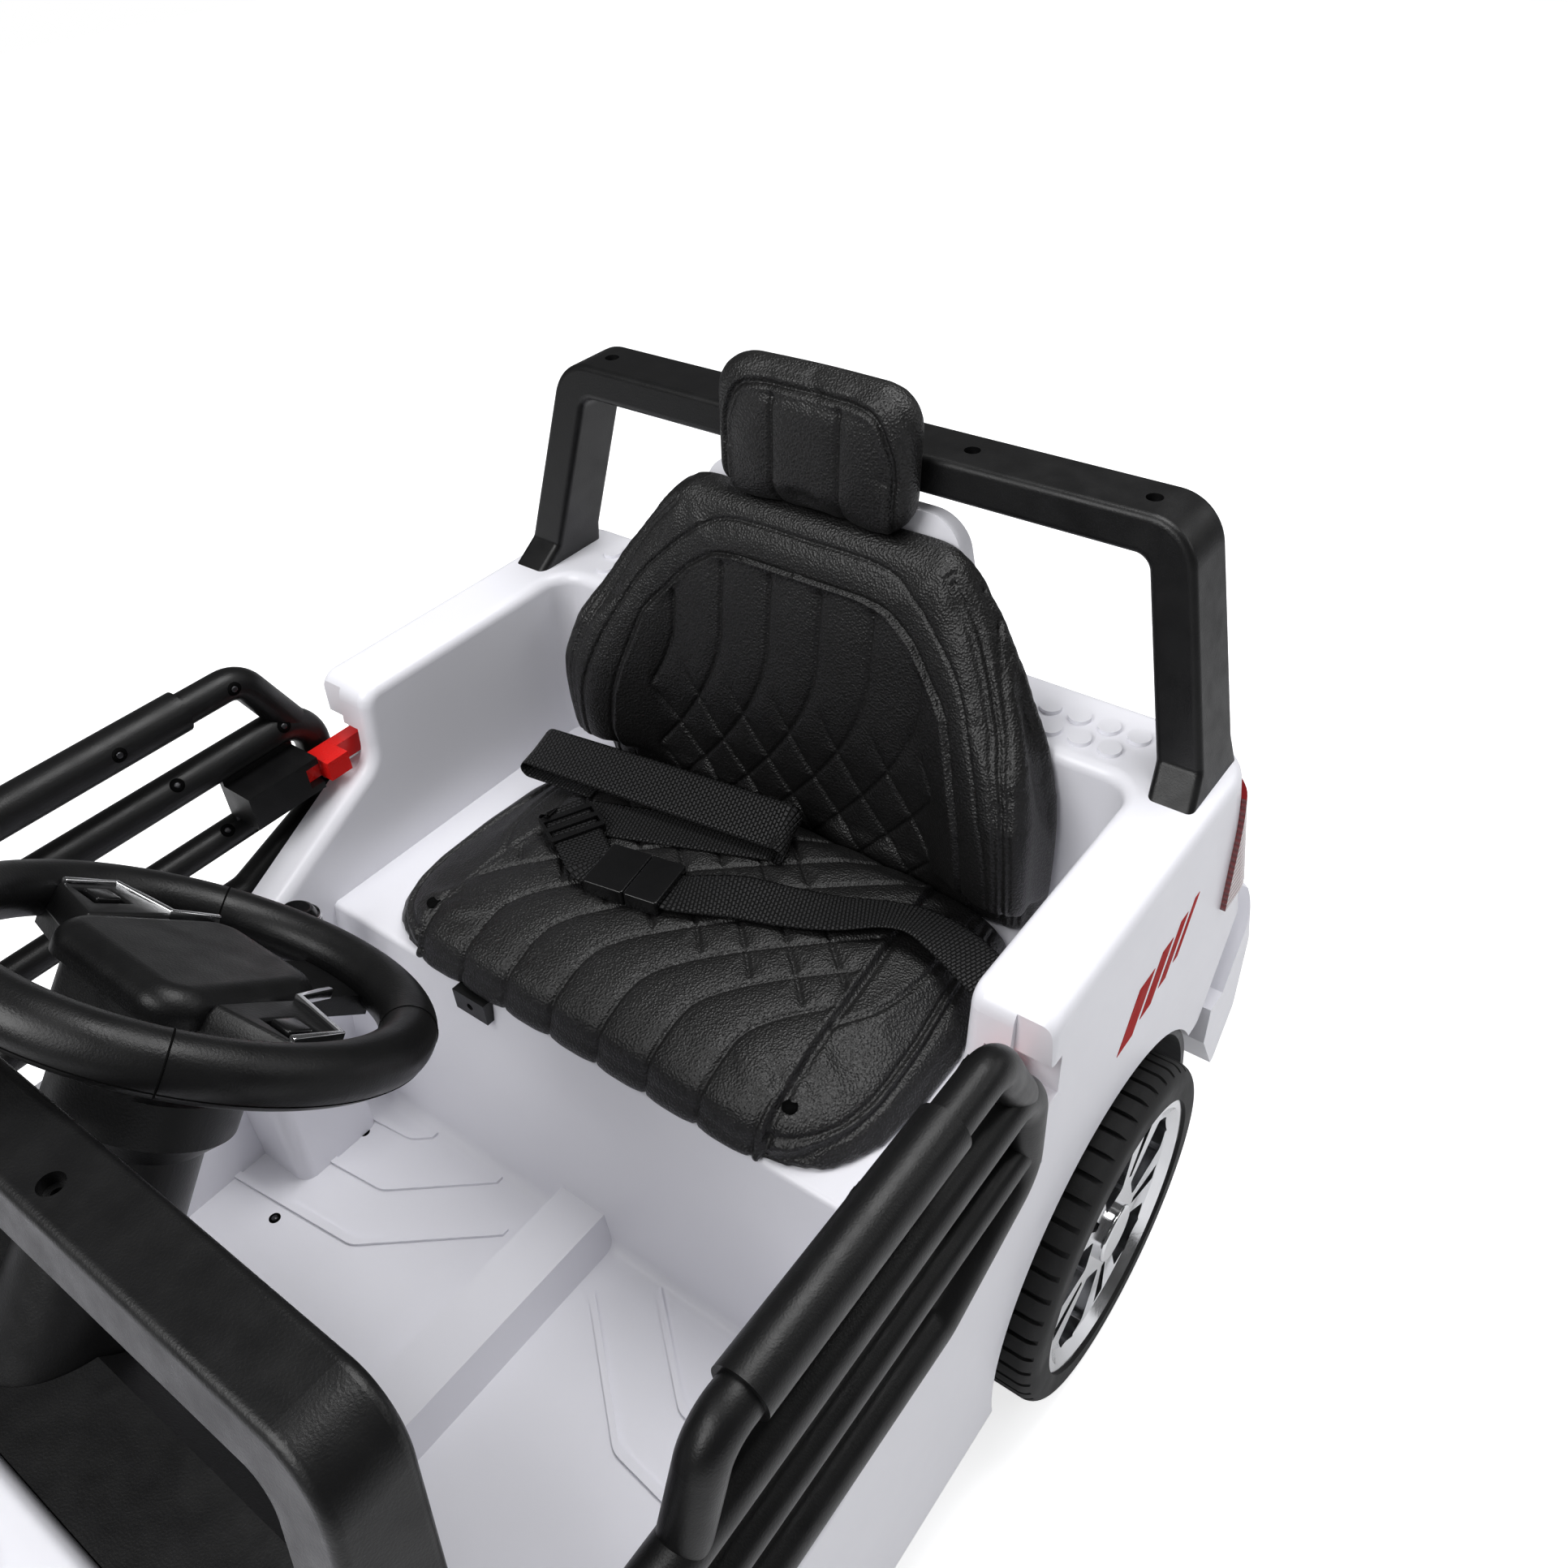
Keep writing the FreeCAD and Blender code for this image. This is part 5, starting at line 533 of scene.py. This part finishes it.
def make_seat_back():
    rings = []
    for z, (half, thick, wing) in BACK_STATIONS.items():
        right = [(x, back_rear(z) - depth, z) for x, depth in back_half_ring(half, thick, wing)]
        left = [(-x, y, z) for x, y, z in right[-2::-1]]
        rear = [((half - 9) * share, back_rear(z), z) for share in np.linspace(-1, 1, 25)[1:-1]]
        rings.append((right + left + rear)[::-1])
    back = new_piece("seat_back", "chassis", PAINTS["leather"], *loft(rings))
    remesh(back, 5, 3)
    swell(back, lambda p: p[:, 1] > np.array([back_rear(z) for z in p[:, 2]]) - 3, cap=3)
    subdivide(back, 2)
    points, normals = read_points(back.data), read_normals(back.data)
    u, v = points[:, 0], points[:, 2]
    facing = smoothstep(-normals[:, 1], 0.1, 0.45)
    panel_top = 551
    panel_line = ((0, 550), (55, 550), (76, 546), (98, 531), (114, 513), (133, 491), (149, 446), (157, 419),
                  (162, 383), (160, 340), (158, 320))
    panel_edge = both_sides(u, v, panel_line)
    outline = panel_line[:0:-1] + ((0, panel_top),)
    half = np.interp(v, [z for _, z in outline], [x for x, _ in outline])
    on_panel = smoothstep(half - np.abs(u), -1, 3) * (v < panel_top)
    stitched = smoothstep(panel_edge, 2, 8) * smoothstep(132 - np.abs(u), 0, 8)
    heights = on_panel * (stitched * quilting(u, 490 - v, 170, 1.28, -1) + 3)
    heights += groove(panel_edge, 1.6, 1.5) * (1 - on_panel) - groove(panel_edge, 1.2, 2) * on_panel
    wing_line = ((0, 575), (60, 574), (88, 564), (116, 541), (139, 516), (161, 475), (175, 440), (183, 412),
                 (186, 370), (182, 325))
    wing = both_sides(u, v, wing_line)
    heights += groove(wing, 1.6, 1.3) + groove(wing, 0.8, 7)
    rim_line = ((118, 577), (142, 551), (167, 507), (186, 467), (195, 432), (198, 385), (196, 330))
    rim = both_sides(u, v, rim_line)
    heights += groove(rim, 2.4, 1.8) + groove(rim - 5, 1.4, 1.6) + groove(rim, 1.2, 8)
    raise_points(back, heights * facing)
    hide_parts("seat_back_cushion")


def make_headrest():
    half, low, high, front, rear, lean = 80, 588, 689, 389, 417, 7
    grid = bmesh.new()
    bmesh.ops.create_cube(grid, size=1)
    bmesh.ops.scale(grid, vec=(2 * half * MM, (rear - front) * MM, (high - low) * MM), verts=grid.verts)
    upright = [edge for edge in grid.edges if abs(edge.verts[0].co.y - edge.verts[1].co.y) > 1e-6]
    bmesh.ops.bevel(grid, geom=upright, offset=26 * MM, segments=6, affect="EDGES", profile=0.5)
    rims = [edge for edge in grid.edges if abs(edge.verts[0].co.y - edge.verts[1].co.y) < 1e-6]
    bmesh.ops.bevel(grid, geom=rims, offset=12.5 * MM, segments=5, affect="EDGES", profile=0.5)
    bmesh.ops.translate(grid, vec=(0, (front + rear) / 2 * MM, (low + high) / 2 * MM), verts=grid.verts)
    for point in grid.verts:
        up = (point.co.z / MM - low) / (high - low)
        point.co.y += lean * up * MM
        point.co.x *= 0.93 + 0.07 * math.sin(math.pi * min(max(0.85 - 0.6 * up, 0), 1))
    mesh = bpy.data.meshes.new("headrest_pad")
    grid.to_mesh(mesh)
    grid.free()
    pad = bpy.data.objects.new("headrest_pad", mesh)
    bpy.context.scene.collection.objects.link(pad)
    mesh.materials.append(PAINTS["leather"])
    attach(pad, "chassis")
    remesh(pad, 4, 3)
    swell(pad, lambda p: p[:, 1] - lean * (p[:, 2] - low) / (high - low) > rear - 1, cap=4)
    subdivide(pad, 2)
    points, normals = read_points(pad.data), read_normals(pad.data)
    u, v = points[:, 0], points[:, 2]
    facing = smoothstep(-normals[:, 1], 0.15, 0.5)
    frame_line = ((0, high - 12), (42, high - 13), (57, high - 20), (65, high - 36), (68, 640), (68, low + 14),
                  (65, low))
    border = both_sides(u, v, frame_line)
    stitch = np.abs(np.abs(u) - 27)
    heights = groove(border, 2.2, 1.6) - groove(border - 4, 1.0, 2) - groove(border + 4, 1.0, 2)
    within = (np.abs(u) < 60) * (v < high - 13)
    heights += (groove(stitch, 2.2, 1.6) + groove(stitch, 1.2, 7)) * smoothstep(border, 2, 7) * within
    raise_points(pad, heights * facing)
    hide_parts("headrest")


SEAT = make_seat_base()
make_seat_back()
make_headrest()


# Seat belt webbing

BELT_HALF = 19
BELT_THICK = 1.4
SEAT_TOP = 359.8


def make_strap(name, stations, nodes):
    """Webbing through (middle, width direction) stations, with its weave laid out in metres."""
    middles = [np.array(point, float) for point, _ in stations]
    wides = [np.array(wide, float) / np.linalg.norm(wide) for _, wide in stations]
    rows, lengths, run = [], [], 0
    for i, (middle, wide) in enumerate(zip(middles, wides)):
        ahead = middles[min(i + 1, len(middles) - 1)] - middles[max(i - 1, 0)]
        ahead /= np.linalg.norm(ahead)
        wide = wide - ahead * np.dot(wide, ahead)
        wide /= np.linalg.norm(wide)
        up = np.cross(ahead, wide)
        shares = np.linspace(-1, 1, 13)
        halves = [up * BELT_THICK / 2 * (1 - abs(s) ** 12) ** 0.5 for s in shares]
        lower = [middle + wide * BELT_HALF * s - half for s, half in zip(shares, halves)]
        upper = [middle + wide * BELT_HALF * s + half for s, half in zip(shares[::-1], halves[::-1])]
        rows.append(lower + upper[1:-1])
        run += np.linalg.norm(middle - middles[i - 1]) if i else 0
        lengths.append(run)
    vertices, faces = loft(rows)
    strap = new_piece(name, "chassis", PAINTS["webbing"], vertices, faces)
    count = len(rows[0])
    layer = strap.data.uv_layers.new(name="weave")
    across = [s * BELT_HALF * MM for s in np.linspace(-1, 1, 13)]
    across += across[::-1][1:-1]
    for loop in strap.data.loops:
        row, column = divmod(loop.vertex_index, count)
        layer.data[loop.index].uv = (across[column], lengths[row] * MM)
    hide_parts(nodes)


def on_seat(x, y, lift):
    return np.array((x, y, SEAT_TOP + lift))


def turned(degrees):
    return np.array((math.cos(math.radians(degrees)), math.sin(math.radians(degrees)), 0))


def square(ahead):
    return np.cross((0, 0, 1), ahead)


def half_turn(centre, outward, radius, upward, steps=12):
    points = []
    for i in range(steps + 1):
        angle = math.pi * (i / steps - 0.5) * (1 if upward else -1)
        points.append(centre + outward * radius * math.cos(angle) + np.array((0, 0, radius * math.sin(angle))))
    return points


def tipped(wide, degrees):
    """Width direction with the rear edge lifted."""
    lift = math.radians(degrees)
    return wide * math.cos(lift) + np.array((0, 0, math.sin(lift)))


def level_way(start, end):
    way = (end - start) * np.array((1, 1, 0))
    return way / np.linalg.norm(way)


def spaced(first, last, wide_first, wide_last, steps):
    """Stations between one and another."""
    shares = [i / steps for i in range(1, steps)]
    return [(first * (1 - t) + last * t, wide_first * (1 - t) + wide_last * t) for t in shares]


def turning(points, wide_first, wide_last):
    """Stations on points, with the width direction turning over on the way."""
    last = len(points) - 1
    return [(point, wide_first * (1 - i / last) + wide_last * i / last) for i, point in enumerate(points)]


def make_belt_right():
    """Slack webbing: looped up on the right, folded under, then back round the adjuster to the buckle."""
    low = BELT_THICK / 2 + 0.1
    loop, fold, end = on_seat(-196, 286, low + 9), on_seat(22, 313, low + 9), on_seat(-142, 249, low + 3)
    adjuster, buckle = on_seat(-120, 239, 5.9), on_seat(-71, 215, 6)
    out_way, home_way, last_way = level_way(loop, fold), level_way(end, fold), level_way(adjuster, buckle)
    entry = turned(10)
    rise = half_turn(loop, -out_way, 9, True)
    under = half_turn(fold, out_way, 9, False)
    round_bar = half_turn(end, -home_way, 3, True)
    out_wide, home_wide, last_wide = square(out_way), square(home_way), square(last_way)
    stations = [(rise[0] + out_way * 58 * (1 - i / 6), out_wide) for i in range(6)]
    stations += turning(rise, out_wide, tipped(out_wide, 18))
    middle = (rise[-1] + under[0]) / 2
    stations += spaced(rise[-1], middle, tipped(out_wide, 18), tipped(out_wide, 30), 16)
    stations.append((middle, tipped(out_wide, 30)))
    stations += spaced(middle, under[0], tipped(out_wide, 30), tipped(out_wide, 35), 16)
    stations += turning(under, tipped(out_wide, 35), home_wide)
    stations += spaced(under[-1], round_bar[0], home_wide, home_wide, 24)
    stations += turning(round_bar, home_wide, last_wide)
    stations += spaced(round_bar[-1], adjuster, last_wide, last_wide, 5)
    stations.append((adjuster, last_wide))
    stations += spaced(adjuster, buckle - 6 * entry, last_wide, square(entry), 10)
    stations += [(buckle - 6 * entry, square(entry)), (buckle + 6 * entry, square(entry))]
    make_strap("belt_right", stations, "belt_strap_right")


def make_belt_left():
    """Webbing from the buckle over the seat, twisting a little, and down beside it."""
    route = smooth_line((  # across, along, lift above the seat, heading, tip
        (-15, 225, 6, 10, 0), (-3, 227, 6, 10, 0), (33, 246, 6.5, 22, 9), (67, 259, 5, 23, 4), (99, 273, 4.5, 27, -5),
        (130, 290, 6.5, 27, -15), (155, 297, 6.5, 2, -15), (184, 294, 3, -14, -4), (210, 285, 0.8, -18, 0),
        (230, 279, -3, -18, 0), (242, 275, -14, -10, 0), (245, 274, -28, 0, 0), (245, 274, -41, 0, 0)))
    stations = [(on_seat(x, y, lift), tipped(square(turned(heading)), tip)) for x, y, lift, heading, tip in route]
    make_strap("belt_left", stations, "belt_strap_left")


make_belt_right()
make_belt_left()


# Small parts: seams and screw holes in painted shade, screws, spoke covers, a bright ring and the side stripes

WHEEL_CENTRE = np.array((0, -102.8, 578))
WHEEL_TILT = math.radians(40)
WHEEL_RING, WHEEL_TUBE = 104.6, 14
LEVER_PIVOT = np.array((-224, 8, 190))
LEVER_TILT = math.radians(17)
KNOB_TOP = 178
FLOOR_TOP = 143
SIDE_FACE = 310
SEAT_HOLE_X, SEAT_HOLE_Y = 162.9, 132


def torus(centre, axis, major, minor, around=96, sides=8):
    """Vertices and faces of a ring about an axis."""
    axis = np.array(axis, float) / np.linalg.norm(axis)
    first = np.cross(axis, (1, 0, 0) if abs(axis[0]) < 0.9 else (0, 1, 0))
    first /= np.linalg.norm(first)
    second = np.cross(axis, first)
    vertices, faces = [], []
    for i in range(around):
        a = 2 * math.pi * i / around
        out = first * math.cos(a) + second * math.sin(a)
        for j in range(sides):
            b = 2 * math.pi * j / sides
            vertices.append(np.array(centre) + out * (major + minor * math.cos(b)) + axis * minor * math.sin(b))
            k, m = (i + 1) % around, (j + 1) % sides
            faces.append((i * sides + j, k * sides + j, k * sides + m, i * sides + m))
    return vertices, faces


def merged(shapes):
    """One mesh of several."""
    vertices, faces = [], []
    for more_vertices, more_faces in shapes:
        start = len(vertices)
        vertices += list(more_vertices)
        faces += [tuple(start + i for i in face) for face in more_faces]
    return vertices, faces


def make_wheel_seams():
    """Seams across the steering wheel's rim and the moulding line round its outside, drawn as matte near-black lines:
    painted shade in the grooves.
    """
    axis = np.array((0, math.sin(WHEEL_TILT), math.cos(WHEEL_TILT)))
    down = np.array((0, math.cos(WHEEL_TILT), -math.sin(WHEEL_TILT)))
    seams = []
    for angle in (44, 136, -38.5, -141.5):
        a = math.radians(angle)
        out = np.array((1, 0, 0)) * math.cos(a) + down * math.sin(a)
        seams.append(torus(WHEEL_CENTRE + out * WHEEL_RING, np.cross(axis, out), WHEEL_TUBE - 0.15, 0.55, 48))
    below = math.radians(35)
    low_ring = WHEEL_CENTRE - axis * WHEEL_TUBE * math.sin(below)
    seams.append(torus(low_ring, axis, WHEEL_RING + (WHEEL_TUBE - 0.1) * math.cos(below), 0.4, 128))
    new_piece("wheel_seam_shade", "steering", PAINTS["dark_hole"], *merged(seams))


def patch(axis_point, along, outward, tube, radius, lift, sides=20):
    """Round patch laid on a tube."""
    along, outward = (np.array(way, float) / np.linalg.norm(way) for way in (along, outward))
    aside = np.cross(along, outward)
    reach = tube + lift
    vertices, faces = [], []
    for depth in (0, -lift - 0.3):
        for ring in (0.5, 1):
            for i in range(sides):
                a = 2 * math.pi * i / sides
                turn = ring * radius * math.sin(a) / reach
                spot = np.array(axis_point) + along * ring * radius * math.cos(a)
                vertices.append(spot + (outward * math.cos(turn) + aside * math.sin(turn)) * (reach + depth))
    for i in range(sides):
        k = (i + 1) % sides
        faces.append((i, k, sides + k, sides + i))
        faces.append((sides + i, sides + k, 3 * sides + k, 3 * sides + i))
        faces.append((3 * sides + i, 3 * sides + k, 2 * sides + k, 2 * sides + i))
    faces.append(tuple(range(sides))[::-1])
    faces.append(tuple(2 * sides + i for i in range(sides)))
    return vertices, faces


DOOR_SCREWS = (  # axis point, direction along the tube, direction outwards, tube radius
    ((306, 108, 502), (0, 1, 0), (-0.97, 0, 0.1), 12), ((306, 17, 502), (0, 1, 0), (-0.98, 0, 0.2), 15),
    ((306, 46, 449), (0, 1, 0), (-0.74, 0, 0.67), 13), ((306, 134, 449), (0, 1, 0), (-0.9, 0, 0.45), 13),
    ((306, 68, 391), (0, 1, 0), (-0.65, 0, 0.75), 11), ((306, 158, 396), (0, 0, 1), (-0.9, -0.4, 0), 13))


def make_door_screws():
    """Sunk screws on the inner side of both doors, each in a near-black patch that is painted shade of its recess."""
    for side, sign in (("left", 1), ("right", -1)):
        hole_shades, heads = [], []
        for spot, along, outward, tube in DOOR_SCREWS:
            spot, outward = (np.array(way) * (sign, 1, 1) for way in (spot, outward))
            # Near-black patch round each screw: painted shade of the recess.
            hole_shades.append(patch(spot, along, outward, tube, 5.2, 0.2))
            heads.append(patch(spot, along, outward, tube, 2.2, 0.5))
        new_piece("door_screw_hole_shade_" + side, "door_" + side, PAINTS["dark_hole"], *merged(hole_shades))
        new_piece("door_screws_" + side, "door_" + side, PAINTS["dark_steel"], *merged(heads))


def circle(x, y, radius, sides=24):
    angles = [2 * math.pi * i / sides for i in range(sides)]
    return [(x + radius * math.cos(a), y + radius * math.sin(a)) for a in angles]


def make_floor_screws():
    # Screws in the floor, each on a near-black disc that is painted shade of its hole.
    hole_shades, heads = [], []
    for x, y in ((-206, 39), (-200, -53)):
        for shapes, radius, lift in ((hole_shades, 4.5, 0.2), (heads, 2.4, 0.5)):
            ring = circle(x, y, radius)
            shapes.append(loft([[(*spot, z) for spot in ring] for z in (FLOOR_TOP - 0.4, FLOOR_TOP + lift)]))
    new_piece("floor_screw_hole_shade", "chassis", PAINTS["dark_hole"], *merged(hole_shades))
    new_piece("floor_screws", "chassis", PAINTS["dark_steel"], *merged(heads))


def make_seat_hole_shade(seat):
    """Near-black plugs at the seat's front corners: painted shade of the screw holes through them."""
    points, normals = read_points(seat.data), read_normals(seat.data)
    hole_shades = []
    for x in (-SEAT_HOLE_X, SEAT_HOLE_X):
        reach = np.hypot(points[:, 0] - x, points[:, 1] - SEAT_HOLE_Y) + 1000 * (normals[:, 2] < 0.2)
        top = points[int(np.argmin(reach))][2]
        ring = circle(x, SEAT_HOLE_Y, 5.2)
        hole_shades.append(loft([[(*spot, top + lift) for spot in ring] for lift in (-4, 0.7)]))
    new_piece("seat_hole_shade", "chassis", PAINTS["dark_hole"], *merged(hole_shades))


def on_wheel(x, y, z):
    """Place on the steering wheel: across, down the wheel, out of its plane."""
    across, up = math.cos(WHEEL_TILT), math.sin(WHEEL_TILT)
    return (x, WHEEL_CENTRE[1] + y * across + z * up, WHEEL_CENTRE[2] - y * up + z * across)


def soften_edges(piece, width):
    change = piece.modifiers.new("edges", "BEVEL")
    change.width = width * MM
    change.segments = 3
    change.limit_method = "ANGLE"
    apply_modifier(piece, "edges")
    piece.data.polygons.foreach_set("use_smooth", [True] * len(piece.data.polygons))


def frame_faces(count, rings):
    """Faces between closed rings, the last joined to the first."""
    return [(i * count + j, i * count + (j + 1) % count, (i + 1) % rings * count + (j + 1) % count,
             (i + 1) % rings * count + j) for i in range(rings) for j in range(count)]


def make_spoke_covers():
    """Raised cover on each side spoke with a window for its button, a taller button face and a bright bracket."""
    brackets = []
    for side, sign in (("left", 1), ("right", -1)):
        low = ((46, -27), (93, -16), (93, 19), (46, 30))
        high = ((50, -22), (90, -13), (90, 17), (50, 25))
        window = ((65.5, -9), (83.5, -9), (83.5, 9), (65.5, 9))
        rings = [(low, -6), (high, 9), (window, 8), (window, -5.5)]
        vertices = [on_wheel(sign * x, y, z) for corners, z in rings for x, y in corners]
        faces = [face[::sign] for face in frame_faces(4, 4)]
        soften_edges(new_piece("spoke_cover_" + side, "steering", PAINTS["black_plastic"], vertices, faces), 1.6)
        face = ((68, -6.5), (81, -6.5), (81, 6.5), (68, 6.5))
        vertices, faces = loft([[on_wheel(sign * x, y, z) for x, y in face] for z in (-2.2, 9.5)])
        faces = [tuple(one)[::sign] for one in faces]
        button = new_piece("button_face_" + side, "spoke_button_" + side, PAINTS["black_gloss"], vertices, faces)
        soften_edges(button, 1.2)
        line, half = ((44, 46), (50, 22.5), (88, 16), (89, -12)), 2
        rows = []
        for i, (x, y) in enumerate(line):
            ahead = np.subtract(line[min(i + 1, 3)], line[max(i - 1, 0)])
            across = np.array((-ahead[1], ahead[0])) / np.linalg.norm(ahead) * half
            spots = ((x - across[0], y - across[1]), (x + across[0], y + across[1]))
            rows.append([on_wheel(sign * u, v, z) for (u, v), z in zip(spots + spots[::-1], (6, 6, 11.2, 11.2))])
        vertices, faces = loft(rows)
        brackets.append((vertices, [tuple(one)[::-sign] for one in faces]))
    bracket = new_piece("spoke_brackets", "steering", PAINTS["bright_rim"], *merged(brackets))
    soften_edges(bracket, 0.7)
    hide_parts("steering_trim")


def make_lever_ring():
    """Bright ring round the top of the lever's knob."""
    axis = np.array((0, math.sin(LEVER_TILT), math.cos(LEVER_TILT)))
    ring = torus(LEVER_PIVOT + axis * KNOB_TOP, axis, 15.4, 1.4, 64)
    new_piece("lever_ring", "direction_lever", PAINTS["bright_rim"], *ring)


def make_side_stripes():
    """Plain slanted stripes on the left rear side."""
    stripes = []
    bands = ((282, 22, 344, 386), (314, 16, 350, 392), (340, 11, 356, 398), (361, 7, 362, 403))
    for start, wide, low, high in bands:
        lean = (high - low) * 0.55
        corners = ((start, low), (start + wide, low), (start + wide + lean, high), (start + lean, high))
        stripes.append(loft([[(x, y, z) for y, z in corners] for x in (SIDE_FACE - 0.1, SIDE_FACE + 0.3)]))
    new_piece("side_stripes", "chassis", PAINTS["red_film"], *merged(stripes), smooth=False)


make_seat_hole_shade(SEAT)
make_wheel_seams()
make_spoke_covers()
make_door_screws()
make_floor_screws()
make_lever_ring()
make_side_stripes()


bpy.context.scene.view_settings.view_transform = "Standard"
